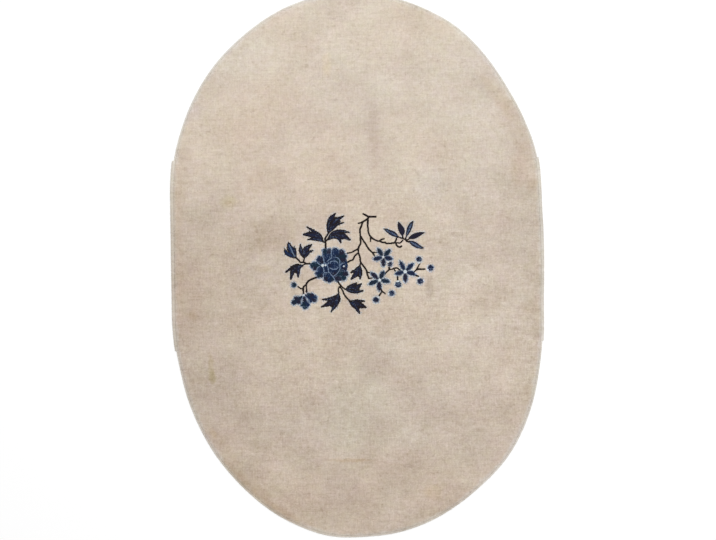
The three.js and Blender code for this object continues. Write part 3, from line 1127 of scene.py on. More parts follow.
# Wear and stains: the middle and half lengths in millimetres, the turn in degrees, and what the yarn's colour
# is multiplied by.
WORN_PLACES = (
    (-530, 15, 370, 290, 0, (0.895, 0.88, 0.875)),
    (-500, -430, 300, 330, 0, (0.92, 0.905, 0.895)),
    (620, 230, 190, 420, 0, (0.935, 0.93, 0.925)),
    (-230, 350, 300, 380, 0, (1.01, 0.985, 0.975)),
    (270, 130, 230, 330, 0, (1.0, 1.005, 1.01)),
    (-20, -500, 130, 180, 0, (0.985, 1.005, 0.995)),
    (-340, -700, 120, 60, -38, (0.975, 0.97, 0.96)),
    (335, -228, 150, 42, 0, (1.02, 1.025, 1.045)),
    (-130, -170, 130, 170, 0, (1.03, 1.035, 1.03)),
    (10, -430, 125, 220, 0, (1.0, 1.012, 1.0)),
    (57, -300, 90, 110, 0, (0.965, 0.965, 0.97)),
    (-265, 105, 110, 100, 0, (0.90, 0.88, 0.85)),
    (520, 480, 60, 150, 18, (0.965, 0.945, 0.925)),
    (440, 90, 120, 140, 0, (0.965, 0.945, 0.94)),
    (385, -235, 130, 110, 0, (1.015, 1.03, 1.04)),
    (390, -320, 220, 240, 0, (1.025, 1.025, 1.025)),
    (290, -80, 140, 130, 0, (1.03, 1.035, 1.04)),
    (530, -262, 60, 55, 0, (1.06, 1.06, 1.06)),
    (237, 260, 70, 80, 0, (1.02, 1.05, 1.08)),
    (138, -570, 100, 40, 0, (1.03, 1.06, 1.07)),
    (-57, -720, 75, 90, 0, (0.92, 0.91, 0.92)),
    (40, 480, 50, 100, 0, (0.96, 0.955, 0.955)),
    (-300, 280, 80, 60, 0, (0.965, 0.95, 0.93)),
    (-340, 680, 120, 80, 0, (1.02, 1.035, 1.05)),
    (-540, -200, 60, 110, 0, (0.965, 0.945, 0.925)),
    (-545, 520, 60, 60, 0, (0.945, 0.95, 0.99)),
    (-200, -460, 110, 60, 0, (0.965, 0.955, 0.95)),
    (30, -360, 60, 60, 0, (0.945, 0.935, 0.945)),
    (-350, -420, 70, 60, 0, (1.04, 1.04, 1.02)),
    (459, 552, 120, 26, -55, (0.955, 0.92, 0.89)),
    (531, 304, 40, 70, 0, (0.97, 0.94, 0.92)),
    (-607, 30, 18, 350, 0, (0.915, 0.90, 0.885)),
    (-592, 30, 30, 330, 0, (0.985, 0.965, 0.94)),
    (-301, 333, 18, 16, 0, (0.985, 0.975, 0.93)),
    (-310, -6, 34, 18, 0, (0.975, 0.96, 0.90)),
    (-540, -160, 18, 22, 0, (0.965, 0.95, 0.90)),
    (238, -742, 38, 32, 0, (1.0, 0.985, 0.91)),
    (235, -78, 19, 48, 0, (0.855, 0.84, 0.835)),
    (-27, -637, 90, 8, -1, (0.915, 0.86, 0.795)),
    (93, -648, 75, 6, -9, (0.95, 0.93, 0.92)),
    (160, -658, 28, 9, -8, (0.87, 0.855, 0.845)),
    (-391, -700, 120, 24, -49, (0.87, 0.83, 0.77)),
    (-262, -806, 110, 24, -33, (0.865, 0.825, 0.77)),
    (-325, -742, 60, 26, -42, (0.92, 0.90, 0.87)),
    (-430, -600, 100, 22, -57, (0.96, 0.94, 0.91)),
    (-482, -331, 13, 64, 4, (0.90, 0.885, 0.79)),
    (-480, -360, 17, 26, 0, (0.91, 0.905, 0.815)),
    (-520, -372, 46, 15, 0, (0.955, 0.935, 0.92)),
    (-560, -370, 50, 50, 0, (0.96, 0.95, 0.94)),
    (197, -380, 12, 12, 0, (0.87, 0.86, 0.855)),
    (415, -379, 11, 15, 0, (0.89, 0.87, 0.86)),
    (152, -232, 5, 22, -25, (0.955, 0.95, 0.95)),
    (178, -225, 5, 22, -25, (0.955, 0.95, 0.95)),
    (347, -238, 5, 26, -30, (0.95, 0.94, 0.94)),
    (8, -336, 60, 8, 0, (0.96, 0.955, 0.955)),
    (-417, 211, 38, 26, 0, (0.945, 0.93, 0.84)),
    (-419, 209, 12, 10, 0, (0.93, 0.91, 0.87)),
    (-404, 121, 16, 20, 0, (0.985, 0.975, 0.94)),
    (-93, 655, 20, 50, 0, (1.03, 1.01, 0.945)),
    (48, -718, 14, 80, 0, (1.03, 1.03, 1.035)),
    (33, -590, 5, 80, 0, (0.955, 0.95, 0.945)),
    (38, 700, 5, 150, 0, (0.97, 0.965, 0.96)),
    (255, 500, 66, 7, -4, (0.955, 0.95, 0.945)),
    (217, 556, 26, 34, 30, (1.045, 1.045, 1.04)),
    (57, 390, 24, 185, 0, (0.965, 0.95, 0.95)),
    (63, 440, 26, 120, 0, (0.965, 0.95, 0.955)),
    (-255, 430, 42, 75, 0, (0.955, 0.95, 0.94)),
    (335, 370, 80, 100, 0, (1.045, 1.045, 1.04)),
    (-560, 326, 50, 60, 0, (0.95, 0.94, 0.94)),
    (140, 740, 90, 70, 0, (1.03, 1.04, 1.045)),
    (440, 600, 60, 80, 0, (0.965, 0.96, 0.955)),
    (-340, -560, 150, 55, 0, (0.96, 0.95, 0.95)),
    (400, -655, 90, 45, 0, (0.955, 0.95, 0.95)),
    (-560, -110, 50, 160, 0, (0.975, 0.965, 0.965)),
    (-350, -262, 65, 50, 0, (0.95, 0.95, 0.955)),
    (236, -850, 70, 40, 0, (1.05, 1.05, 1.045)),
    (535, -537, 230, 34, 63, (1.025, 1.035, 1.06)),
    (-588, 240, 50, 130, 0, (0.985, 0.975, 0.95)),
    (-270, 507, 220, 6, 0, (0.96, 0.955, 0.95)),
    (-515, -160, 75, 14, 0, (0.955, 0.945, 0.93)),
    (-508, -421, 60, 22, 0, (0.93, 0.92, 0.91)),
    (-562, 370, 36, 34, 0, (0.92, 0.90, 0.895)),
    (-478, -545, 24, 13, -57, (0.98, 0.95, 0.88)),
    (358, 176, 7, 38, 0, (0.93, 0.92, 0.91)),
    (259, 222, 5, 52, 0, (0.965, 0.955, 0.95)),
    (576, 258, 26, 30, 0, (0.935, 0.905, 0.875)),
    (538, 380, 28, 24, 0, (0.95, 0.93, 0.91)),
    (202, 298, 10, 10, 0, (0.91, 0.90, 0.895)),
    (585, -238, 20, 14, 0, (0.85, 0.83, 0.815)),
    (564, -144, 36, 32, 0, (0.92, 0.895, 0.86)),
    (550, -412, 18, 24, 0, (0.935, 0.925, 0.90)),
    (590, -150, 36, 110, 0, (0.975, 0.965, 0.955)),
    (-600, -40, 110, 240, 0, (0.962, 0.953, 0.945)),
    (-444, -644, 130, 14, -53, (1.03, 1.045, 1.06)),
    (430, -682, 120, 14, 45, (1.02, 1.03, 1.045)),
    (571, -399, 120, 14, 79, (1.03, 1.045, 1.065)),
    (602, -5, 16, 90, 0, (1.03, 1.035, 1.04)),
    (560, 428, 110, 14, 111, (1.02, 1.03, 1.035)),
)
# Past this half width a worn place strays by centimetres at its border, below it by millimetres.
BROAD_PLACE = 45


def wear_and_painted_light_group():
    """Age and painted light on the whole rug: the foot end darker and the head lighter, partly soil and fading
    and partly painted shade that deepens towards the foot end; a bleached rim, partly lightened as painted
    light over the shade at the shoulder; and the worn places.
    """
    colour = "NodeSocketColor"
    group, bench, given, out = new_group(
        "age_and_soil",
        (("Color", colour, (0.5, 0.5, 0.5, 1)), ("Amount", "NodeSocketFloat", 1.0)),
        (("Color", colour),),
    )
    place = bench.add("ShaderNodeTexCoord").outputs["Object"]
    axes = bench.add("ShaderNodeSeparateXYZ", {0: place}).outputs
    stray = bench.noise(place, 9.0, 3.0, 0.55)
    wander = bench.swing(stray, 0.5)
    # Darker towards the foot end and lighter towards the head: partly soil and fading, partly painted shade
    # where the light falls off along the rug.
    end = bench.ranged(bench.math("ADD", axes["Y"], wander), -0.85, 0.85, 0.0, 1.0, smooth=False)
    soil_and_light = bench.blend(end, (0.80, 0.77, 0.755, 1), (0.97, 0.985, 0.995, 1))
    share = bench.add("ShaderNodeAttribute", attribute_name="rim_share").outputs["Fac"]
    patchy = bench.swing(bench.noise(place, 42.0), 0.7)
    edge = bench.ranged(bench.math("ADD", share, patchy), 0.55, 0.9, 0, 1)
    # A bluer, lighter rim: partly real bleaching, partly painted light over the shade on the pile's outward
    # sloping shoulder.
    bleach_and_fill_light = bench.blend(end, (1.04, 1.11, 1.185, 1), (1.045, 1.085, 1.135, 1))
    soil_and_light = bench.blend(edge, soil_and_light, bench.product(soil_and_light, bleach_and_fill_light))
    # Painted light: a lift near the rim that fills the shade in the groove between the pile's shoulder and the
    # cord.
    soil_and_light = bench.vector("MULTIPLY", soil_and_light, bench.ranged(share, 0.84, 0.97, 1.0, 1.08))
    broad_stray = bench.scaled(bench.vector("SUBTRACT", (0.5, 0.5, 0.5), stray), 0.06)
    broadly, finely = bench.vector("ADD", place, broad_stray), bench.strays(place, 70.0, 0.012)
    for x, y, half_x, half_y, turn, tint in WORN_PLACES:
        feeds = {
            "Vector": broadly if min(half_x, half_y) > BROAD_PLACE else finely,
            "Location": (x * MM, y * MM, 0),
            "Rotation": (0, 0, math.radians(turn)),
            "Scale": (half_x * MM, half_y * MM, 1),
        }
        local = bench.add("ShaderNodeMapping", feeds, vector_type="TEXTURE").outputs[0]
        ball = bench.add("ShaderNodeTexGradient", {"Vector": local}, gradient_type="SPHERICAL").outputs["Fac"]
        soil_and_light = bench.blend(bench.math("MULTIPLY", ball, 1.8), soil_and_light, (*tint, 1), "MULTIPLY")
    aged_and_lit = bench.blend(given["Amount"], given["Color"], bench.product(given["Color"], soil_and_light))
    bench.feed(out.inputs["Color"], aged_and_lit)
    return group


def shared_group(name, make):
    """The group of that name, made the first time that a material asks for it."""
    return bpy.data.node_groups.get(name) or make()


WOOL_ROUGHNESS = 0.95

# Each yarn's unevenness by knots, rows, warps, clouds and tint.
COTTON_SPREAD = (0.22, 0.25, 0.1, 0.12, 0.2)
GROUND_SPREAD = (0.16, 0.18, 0.24, 0.33, 0.6)
SPRAY_SPREAD = (0.25, 0.15, 0.1, 0.28, 0.6)
EDGING_SPREAD = (0.06, 0.1, 0.1, 0.4, 0.4)


def yarn_material(name, colour, knot, spread, age, bump=0.25, sheen=0.2):
    """A yarn's finish, and how much of the rug's wear and painted light and shade shows on it."""
    material = bpy.data.materials.get(name) or bpy.data.materials.new(name)
    material.use_nodes = True
    tree = material.node_tree
    tree.nodes.clear()
    bench = Bench(tree)
    feeds = {"Yarn": (*colour, 1), "Knot size": knot}
    feeds.update(zip(("Knots", "Rows", "Warps", "Clouds", "Tint"), spread))
    wool = bench.add("ShaderNodeGroup", node_tree=shared_group("spun_wool", spun_wool_group))
    for label, value in feeds.items():
        bench.feed(wool.inputs[label], value)
    aged_and_lit = bench.add("ShaderNodeGroup", node_tree=shared_group("age_and_soil", wear_and_painted_light_group))
    bench.feed(aged_and_lit.inputs["Color"], wool.outputs["Color"])
    bench.feed(aged_and_lit.inputs["Amount"], age)
    relief = {"Height": wool.outputs["Height"], "Strength": bump, "Distance": 0.6 * MM}
    shader = bench.add("ShaderNodeBsdfPrincipled", {
        "Base Color": aged_and_lit.outputs["Color"],
        "Roughness": WOOL_ROUGHNESS,
        "Normal": bench.add("ShaderNodeBump", relief).outputs["Normal"],
        "Specular IOR Level": 0.2,
        "Sheen Weight": sheen,
        "Sheen Roughness": 0.5,
    })
    bench.add("ShaderNodeOutputMaterial", {"Surface": shader.outputs[0]})
    return material


# Settings

class RugClothSettings(PropertyGroup):
    """Sizes and colours of the foundation and the ground pile."""

    knot: FloatProperty(
        name="Knot", description="Width of a knot, and height of a row", default=3.5 * MM, min=2 * MM,
        subtype="DISTANCE", unit="LENGTH",
    )
    relief: FloatProperty(
        name="Relief", description="How deep the pile parts between tufts", default=0.75 * MM, min=0,
        subtype="DISTANCE", unit="LENGTH",
    )
    lean: FloatProperty(
        name="Lean", description="How far the tufts' tips lean towards the foot end", default=0.8 * MM,
        subtype="DISTANCE", unit="LENGTH",
    )
    unevenness: FloatProperty(
        name="Unevenness", description="Spread of the tufts' heights", default=0.22 * MM, min=0,
        subtype="DISTANCE", unit="LENGTH",
    )
    softness: FloatProperty(
        name="Softness", description="How softly the tufts shade into each other", default=0.65, min=0, max=1,
        subtype="FACTOR",
    )
    seed: IntProperty(name="Seed", description="Number that the unevenness is drawn from", default=7)
    ground_colour: FloatVectorProperty(
        name="Ground", description="Colour of the plain ground's wool", size=3, min=0, max=1,
        subtype="COLOR", default=srgb(209, 195, 179),
    )
    cotton_colour: FloatVectorProperty(
        name="Cotton", description="Colour of the warps and wefts", size=3, min=0, max=1,
        subtype="COLOR", default=srgb(208, 196, 174),
    )


class RugSpraySettings(PropertyGroup):
    """Colours of the spray, and how finely its tufts splay."""

    splay: IntProperty(
        name="Splay", description="Tufts across one knot of the spray", default=3, min=1, max=4,
    )
    bark_colour: FloatVectorProperty(
        name="Bark", description="Colour of the stems and leaf outlines", size=3, min=0, max=1,
        subtype="COLOR", default=srgb(30, 23, 21),
    )
    navy_colour: FloatVectorProperty(
        name="Navy", description="Colour of the leaves and dark petals", size=3, min=0, max=1,
        subtype="COLOR", default=srgb(32, 31, 49),
    )
    blue_colour: FloatVectorProperty(
        name="Blue", description="Colour of the petals", size=3, min=0, max=1,
        subtype="COLOR", default=srgb(20, 38, 70),
    )
    teal_colour: FloatVectorProperty(
        name="Teal", description="Colour of the greenish petals", size=3, min=0, max=1,
        subtype="COLOR", default=srgb(20, 41, 57),
    )
    light_colour: FloatVectorProperty(
        name="Light blue", description="Colour of the petal lines and of the petals' edges", size=3,
        min=0, max=1, subtype="COLOR", default=srgb(114, 131, 154),
    )
    pale_colour: FloatVectorProperty(
        name="Pale blue", description="Colour of the hearts and halos", size=3, min=0, max=1,
        subtype="COLOR", default=srgb(207, 214, 219),
    )


class RugEdgingSettings(PropertyGroup):
    """Sizes and colour of the overcast edging."""

    stitch: FloatProperty(
        name="Stitch", description="Length of cord that one overcast stitch covers", default=3.6 * MM,
        min=2 * MM, subtype="DISTANCE", unit="LENGTH",
    )
    groove: FloatProperty(
        name="Groove", description="Depth of the groove between two stitches", default=0.65 * MM, min=0,
        subtype="DISTANCE", unit="LENGTH",
    )
    yarn_colour: FloatVectorProperty(
        name="Edging yarn", description="Colour of the edging's yarn", size=3, min=0, max=1,
        subtype="COLOR", default=srgb(218, 211, 200),
    )


class RugStageSettings(PropertyGroup):
    """The floor, the lights and the camera."""

    lens: FloatProperty(
        name="Lens", description="Focal length in millimetres", default=85, min=20, unit="CAMERA",
    )
    distance: FloatProperty(
        name="Distance", description="Height of the camera over the pile", default=5.52, min=0.5,
        subtype="DISTANCE", unit="LENGTH",
    )
    turn: FloatProperty(
        name="Turn", description="How far the rug is turned in the view", default=math.radians(0.72),
        subtype="ANGLE", unit="ROTATION",
    )
    aim: FloatVectorProperty(
        name="Aim", description="Where on the rug the camera points", size=2, default=(1.1 * MM, -16.0 * MM),
        subtype="XYZ", unit="LENGTH",
    )
    floor_size: FloatProperty(
        name="Floor size", description="Side of the square floor", default=60, min=4,
        subtype="DISTANCE", unit="LENGTH",
    )
    floor_colour: FloatVectorProperty(
        name="Floor", description="Colour of the floor", size=3, min=0, max=1, subtype="COLOR",
        default=(0.955, 0.955, 0.955),
    )
    key_power: FloatProperty(
        name="Key light", description="Power of the large overhead light", default=350, min=0, unit="POWER",
    )
    world_strength: FloatProperty(
        name="Surroundings", description="Brightness of the surroundings", default=0.55, min=0,
    )


# Operators

class RUG_OT_foundation(Operator):
    """Weave the cotton foundation under the pile"""

    bl_idname = "rug.foundation"
    bl_label = "Weave the foundation"

    def execute(self, context):
        cloth = context.scene.rug_cloth
        colour = tuple(cloth.cotton_colour)
        material = yarn_material("woven_back", colour, cloth.knot / 2, COTTON_SPREAD, age=0.8, bump=0.5)
        fresh_piece("foundation", foundation_mesh(cloth.knot), material, (CLOTH_NODE,))
        return {"FINISHED"}


# The slab's quads across, how far it stays clear of the rim's two ends, and its ridges' and furrows' heights.
SLAB_COLUMNS = 24
END_CLEARANCE = 0.2 * MM
RIDGE, FURROW = 0.12 * MM, 0.45 * MM


def foundation_mesh(knot):
    """A closed slab with the outline of the rim, ridged below by its rows of knots."""
    right = rim.line[rim.line[:, 0] > 0]
    left = rim.line[rim.line[:, 0] < 0]
    right, left = (side[np.argsort(side[:, 1])] for side in (right, left))
    bottom, top = rim.line[:, 1].min() + END_CLEARANCE, rim.line[:, 1].max() - END_CLEARANCE
    levels = np.linspace(bottom, top, 2 * round((top - bottom) / knot) + 1)
    ends = np.stack([np.interp(levels, side[:, 1], side[:, 0]) for side in (left, right)], axis=1)
    share = np.linspace(0, 1, SLAB_COLUMNS + 1)
    x = ends[:, :1] + (ends[:, 1:] - ends[:, :1]) * share
    y = np.broadcast_to(levels[:, None], x.shape)
    z = np.where(np.arange(len(levels))[:, None] % 2, RIDGE, FURROW)
    under = np.stack([x, y, np.broadcast_to(z, x.shape)], axis=-1)
    over = np.stack([ends, np.repeat(levels[:, None], 2, 1), np.full(ends.shape, rim.heights[0])], axis=-1)
    points = np.vstack([under.reshape(-1, 3), over.reshape(-1, 3)])
    low = np.arange(under[..., 0].size).reshape(x.shape)
    high = low.size + np.arange(ends.size).reshape(ends.shape)
    faces = [
        np.stack([low[:-1, :-1], low[1:, :-1], low[1:, 1:], low[:-1, 1:]], -1).reshape(-1, 4),
        np.stack([high[:-1, 0], high[:-1, 1], high[1:, 1], high[1:, 0]], -1),
        np.stack([low[:-1, 0], high[:-1, 0], high[1:, 0], low[1:, 0]], -1),
        np.stack([high[:-1, 1], low[:-1, -1], low[1:, -1], high[1:, 1]], -1),
    ]
    caps = [np.concatenate([low[0], high[0, ::-1]]), np.concatenate([low[-1, ::-1], high[-1]])]

    # The underside has one half of the texture and the top the other. The walls are strips by the underside.
    plan = within(points[:, :2], rim.line.min(0), rim.line.max(0)) * (0.49, 1)
    layout = [plan[faces[0]].reshape(-1, 2), plan[faces[1]].reshape(-1, 2) + (0.505, 0)]
    for wall, sign in ((faces[2], -1), (faces[3], 1)):
        layout.append((plan[wall] + (0.003 * sign, 0) * (wall >= low.size)[..., None]).reshape(-1, 2))
    layout.extend(plan[cap] for cap in caps)
    listed = [face for group in faces for face in group] + caps
    return mesh_of("foundation", points, listed, np.vstack(layout))


class RUG_OT_pile(Operator):
    """Knot the plain ground pile, in strips along the rug"""

    bl_idname = "rug.pile"
    bl_label = "Knot the ground pile"

    def execute(self, context):
        cloth = context.scene.rug_cloth
        surface, *_ = surface_from(context)
        colour = tuple(cloth.ground_colour)
        material = yarn_material("ground_wool", colour, cloth.knot, GROUND_SPREAD, age=1.0)
        ground = np.nonzero(surface.owner == GROUND)[0]
        middle = surface.points[surface.faces[ground]][..., 0].mean(1)
        cuts = np.quantile(middle, np.arange(1, STRIPS) / STRIPS)
        strip = np.searchsorted((cuts / cloth.knot).round() * cloth.knot, middle)
        for k in range(STRIPS):
            name = f"ground_pile_{k + 1}"
            mesh = pile_mesh(name, surface, ground[strip == k], folded_layout, cloth.softness)
            note_rim(mesh)
            fresh_piece(name, mesh, material, (CLOTH_NODE,))
        return {"FINISHED"}


def note_rim(mesh):
    """Notes on each point how close it is to the rim, from 0 at the rim band's inner side to 1."""
    places = np.empty(len(mesh.vertices) * 3, np.float32)
    mesh.vertices.foreach_get("co", places)
    share = np.clip(1 - rim.inset(places.reshape(-1, 3)[:, :2]) / RIM_BAND, 0, 1)
    mesh.attributes.new("rim_share", "FLOAT", "POINT").data.foreach_set("value", share.astype(np.float32))


def surface_from(context):
    """The pile's surface as the settings ask for it."""
    cloth, spray = context.scene.rug_cloth, context.scene.rug_spray
    return pile_surface(Pile(cloth.knot, cloth.relief, cloth.lean, cloth.unevenness, spray.splay, cloth.seed))


class RUG_OT_spray(Operator):
    """Knot the flower spray, one piece for each yarn"""

    bl_idname = "rug.spray"
    bl_label = "Knot the spray"

    def execute(self, context):
        cloth, spray = context.scene.rug_cloth, context.scene.rug_spray
        surface, in_knots, first = surface_from(context)
        for number, yarn in enumerate(YARNS):
            if number == GROUND:
                continue
            name = "spray_" + yarn
            colour = tuple(getattr(spray, yarn + "_colour"))
            age = 0.5 if number in (LIGHT, PALE) else 0.0
            tuft = cloth.knot / spray.splay
            material = yarn_material(yarn + "_wool", colour, tuft, SPRAY_SPREAD, age, sheen=0.08)
            chosen = np.nonzero(surface.owner == number)[0]
            backs = knot_backs(in_knots == number, first, cloth.knot)
            mesh = pile_mesh(name, surface, chosen, spray_layout, cloth.softness, backs)
            fresh_piece(name, mesh, material)
        return {"FINISHED"}


def spray_layout(plan):
    """Places in the spray's window, in the texture's lower half. The knots' backs have the upper half."""
    low, high = (np.array(corner) * MM for corner in SPRAY_WINDOW)
    return within(plan, low - 4 * MM, high + 4 * MM) * (1, 0.49)


# A yarn's knot shows on the back from this share of its tufts, as two bumps: their middles, half width and
# half length in knots, and the heights of their feet and tips.
BACK_SHARE = 0.4
BACK_MIDDLES = (0.27, 0.73)
BACK_HALVES = (0.22, 0.42)
BACK_FOOT, BACK_TIP = 0.4 * MM, 0.02 * MM


def knot_backs(tufts, first, knot):
    """The backs of a yarn's knots, each two small bumps side by side on the underside of the foundation."""
    row, col = np.nonzero(tufts.mean(axis=(1, 3)) > BACK_SHARE)
    x = (col + first[0])[:, None] * knot + np.array(BACK_MIDDLES) * knot
    y = np.repeat((row + first[1] + 0.5)[:, None] * knot, 2, axis=1)
    middles = np.stack([x, y], axis=-1).reshape(-1, 1, 2)
    corners = middles + np.array([(-1, -1), (-1, 1), (1, 1), (1, -1)]) * BACK_HALVES * knot
    base = np.concatenate([corners, np.full(corners.shape[:2] + (1,), BACK_FOOT)], axis=-1)
    tips = np.concatenate([middles, np.full(middles.shape[:2] + (1,), BACK_TIP)], axis=-1)
    points = np.concatenate([base, tips], axis=1).reshape(-1, 3)
    bump = np.array([(0, 1, 4), (1, 2, 4), (2, 3, 4), (3, 0, 4)])
    faces = (np.arange(len(middles))[:, None, None] * 5 + bump).reshape(-1, 3)
    return points, faces, spray_layout(points[faces][..., :2]) + (0, 0.5)


class RUG_OT_edging(Operator):
    """Overcast the rim with yarn, over a cord along each side and end"""

    bl_idname = "rug.edging"
    bl_label = "Overcast the edges"

    def execute(self, context):
        edging, cloth = context.scene.rug_edging, context.scene.rug_cloth
        colour = tuple(edging.yarn_colour)
        material = yarn_material("edge_yarn", colour, edging.stitch, EDGING_SPREAD, age=0.85, bump=0.5)
        rng = np.random.default_rng(cloth.seed + 5)
        for node in CORD_NODES:
            mesh = overcast_mesh(node, edging.stitch, edging.groove, rng)
            fresh_piece(node + "_overcast", mesh, material, (node,))
        return {"FINISHED"}


# The overcast cord's section, from its outer foot over the top and onto the pile, then down inside: shares of
# the width inwards, of the height and of the lap, and how far each place swells out and up.
OVERCAST_SECTION = np.array((
    (0.10, 0.0, 0.0, -0.3, 0.0),
    (0.0, 0.30, 0.0, -1.0, 0.0),
    (0.02, 0.58, 0.0, -1.0, 0.3),
    (0.13, 0.82, 0.0, -0.7, 0.7),
    (0.32, 0.96, 0.0, -0.3, 1.0),
    (0.58, 1.0, 0.0, 0.0, 1.0),
    (0.86, 1.0, 0.3, 0.0, 0.9),
    (1.0, 1.05, 1.0, 0.0, 0.5),
    (1.0, 0.55, 0.0, 0.0, 0.0),
    (0.8, 0.0, 0.0, 0.0, 0.0),
))
RINGS_PER_STITCH = 3

# A packed cord is widest at this share of its height. Its overcasting reaches inwards to the seam with the
# cloth, and has a least width.
WIDEST = 0.45
SEAM = 0.3 * MM
LEAST_WIDTH = 3 * MM

# How far rings stray and grooves spread, as shares of a stitch and of a groove, how much of a swell goes out,
# and how far a stitch slants across the cord, in stitches.
RING_STRAY = 0.06
GROOVE_SPREAD = 0.25
OUT_SWELL = 0.7
SLANT = 0.55

# The number of rows into which a cord's texture is folded.
FOLDS = 12


def overcast_mesh(node, stitch, groove, rng):
    """A closed cord on a packed cord node, wrapped by slanting stitches."""
    points = node_points(node)
    height = points[:, 2].max()
    outer = points[np.abs(points[:, 2] - WIDEST * height) < SAME_LEVEL, :2]
    middle = math.atan2(*outer.mean(0)[::-1])
    turn = (np.arctan2(outer[:, 1], outer[:, 0]) - middle + math.pi) % (2 * math.pi)
    line = smooth_line(outer[np.argsort(turn)], CORD_PARTS)
    length = run_of(line)[-1]
    stitches = round(length / stitch)
    at = np.linspace(0, length, stitches * RINGS_PER_STITCH + 1)
    at[1:-1] += rng.normal(0, RING_STRAY * stitch, len(at) - 2)
    place = places_at(at, line)
    ahead = np.gradient(place, axis=0)
    ahead /= np.linalg.norm(ahead, axis=1, keepdims=True)
    inwards = np.stack([-ahead[:, 1], ahead[:, 0]], axis=1)
    width = np.clip(-rim.inset(place) - SEAM, LEAST_WIDTH, None)[:, None]
    uneven = np.repeat(rng.normal(0, GROOVE_SPREAD * groove, stitches + 1), RINGS_PER_STITCH)[: len(at)]
    bulge = (np.where(np.arange(len(at)) % RINGS_PER_STITCH == 0, -groove, 0) + uneven)[:, None]
    inwards_share, height_share, lap_share, out_swell, up_swell = OVERCAST_SECTION.T
    lap = SEAM + np.interp(height_share.max() * height, rim.heights, rim.insets)
    across = width * inwards_share + lap * lap_share + bulge * OUT_SWELL * out_swell
    up = np.clip(height * height_share + bulge * up_swell, 0, None)
    slant = stitch * SLANT * (0.5 - across / width)
    ring = place[:, None] + inwards[:, None] * across[..., None] + ahead[:, None] * slant[..., None]
    solid = np.concatenate([ring, up[..., None]], axis=-1)

    around = len(OVERCAST_SECTION)
    ids = np.arange(solid[..., 0].size).reshape(solid.shape[:2])
    here, there = ids[:-1], ids[1:]
    quads = np.stack([here, there, np.roll(there, -1, 1), np.roll(here, -1, 1)], -1)

    # Each row of the texture has the skin of one stretch of the cord, and the two ends share a small spot.
    spot = np.arange(len(at)) / (len(at) - 1) * FOLDS
    fold = np.minimum(spot[:-1].astype(int), FOLDS - 1)
    v = np.arange(around + 1) / around
    layout = np.empty(quads.shape + (2,))
    for k, (end, shift) in enumerate(((0, 0), (1, 0), (1, 1), (0, 1))):
        u = spot[end : len(at) - 1 + end] - fold
        layout[:, :, k, 0] = 0.005 + 0.985 * np.minimum(u, 1.005)[:, None]
        layout[:, :, k, 1] = (fold[:, None] + 0.04 + 0.92 * v[None, shift : around + shift]) / FOLDS
    faces = [*quads.reshape(-1, 4), ids[0], ids[-1, ::-1]]
    caps = np.tile(0.5 + 0.002 * OVERCAST_SECTION[:, :2], (2, 1))
    return mesh_of(node + "_overcast", solid.reshape(-1, 3), faces, np.vstack([layout.reshape(-1, 2), caps]))


# The large light overhead: its place and its width.
LIGHT_PLACE = (0.8, 1.4, 7.0)
LIGHT_SIZE = 6.0


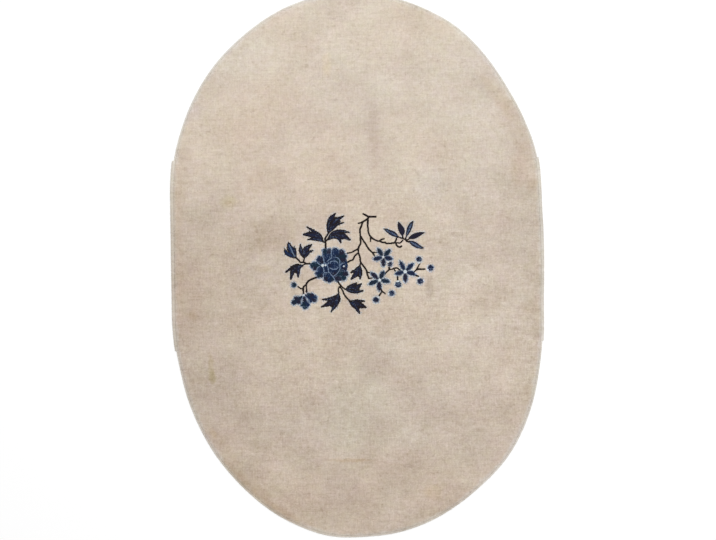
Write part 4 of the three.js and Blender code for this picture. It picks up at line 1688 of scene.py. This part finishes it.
class RUG_OT_stage(Operator):
    """Set the floor, the soft lights and the camera straight above the rug"""

    bl_idname = "rug.stage"
    bl_label = "Set the stage"

    def execute(self, context):
        scene, stage = context.scene, context.scene.rug_stage
        self.make_floor(stage)
        scene.camera = self.make_camera(stage)
        self.make_lights(scene, stage)
        scene.view_settings.view_transform = "Standard"
        scene.view_settings.look = "None"
        return {"FINISHED"}

    def make_floor(self, stage):
        half = stage.floor_size / 2
        mesh = bpy.data.meshes.new("floor")
        corners = [(-half, -half, 0), (half, -half, 0), (half, half, 0), (-half, half, 0)]
        mesh.from_pydata(corners, [], [(0, 1, 2, 3)])
        floor = fresh_object("floor", mesh)
        material = bpy.data.materials.new("floor_paint")
        material.use_nodes = True
        bench = Bench(material.node_tree)
        place = bench.add("ShaderNodeTexCoord").outputs["Object"]
        tone = bench.ranged(bench.noise(place, 3.0), 0, 1, 0.995, 1.0, smooth=False)
        shader = material.node_tree.nodes["Principled BSDF"]
        bench.feed(shader.inputs["Base Color"], bench.scaled(tuple(stage.floor_colour), tone))
        bench.feed(shader.inputs["Roughness"], 1.0)
        bench.feed(shader.inputs["Specular IOR Level"], 0.0)
        mesh.materials.append(material)

    def make_camera(self, stage):
        data = bpy.data.cameras.new("camera")
        data.lens = stage.lens
        data.sensor_width = 36
        camera = fresh_object("camera", data)
        camera.location = (*stage.aim, stage.distance + CAD_BOX[1].z)
        camera.rotation_euler = (0, 0, -stage.turn)
        return camera

    def make_lights(self, scene, stage):
        data = bpy.data.lights.new("overhead", "AREA")
        data.shape = "DISK"
        data.size = LIGHT_SIZE
        data.energy = stage.key_power
        light = fresh_object("overhead", data)
        x, y, z = LIGHT_PLACE
        light.location = LIGHT_PLACE
        light.rotation_euler = (-math.atan2(y, z), math.atan2(x, z), 0)
        world = bpy.data.worlds.new("surroundings")
        world.use_nodes = True
        sky = world.node_tree.nodes["Background"]
        sky.inputs["Color"].default_value = (1.0, 1.0, 1.0, 1)
        sky.inputs["Strength"].default_value = stage.world_strength
        scene.world = world


class RUG_PT_maker(Panel):
    """Lists the rug's settings and steps"""

    bl_idname = "RUG_PT_maker"
    bl_label = "Peking rug"
    bl_space_type = "VIEW_3D"
    bl_region_type = "UI"
    bl_category = "Rug"

    def draw(self, context):
        scene = context.scene
        for settings, steps in (
            (scene.rug_cloth, (RUG_OT_foundation, RUG_OT_pile)),
            (scene.rug_spray, (RUG_OT_spray,)),
            (scene.rug_edging, (RUG_OT_edging,)),
            (scene.rug_stage, (RUG_OT_stage,)),
        ):
            box = self.layout.box()
            for name in settings.__annotations__:
                box.prop(settings, name)
            for step in steps:
                box.operator(step.bl_idname)


SETTINGS = {
    "rug_cloth": RugClothSettings,
    "rug_spray": RugSpraySettings,
    "rug_edging": RugEdgingSettings,
    "rug_stage": RugStageSettings,
}
STEPS = (RUG_OT_foundation, RUG_OT_pile, RUG_OT_spray, RUG_OT_edging, RUG_OT_stage)


def register():
    for cls in (*SETTINGS.values(), *STEPS, RUG_PT_maker):
        bpy.utils.register_class(cls)
    for name, cls in SETTINGS.items():
        setattr(bpy.types.Scene, name, PointerProperty(type=cls))


def unregister():
    for name in SETTINGS:
        delattr(bpy.types.Scene, name)
    for cls in reversed((*SETTINGS.values(), *STEPS, RUG_PT_maker)):
        bpy.utils.unregister_class(cls)


def main():
    register()
    for step in STEPS:
        category, name = step.bl_idname.split(".")
        getattr(getattr(bpy.ops, category), name)()


if __name__ == "__main__":
    main()
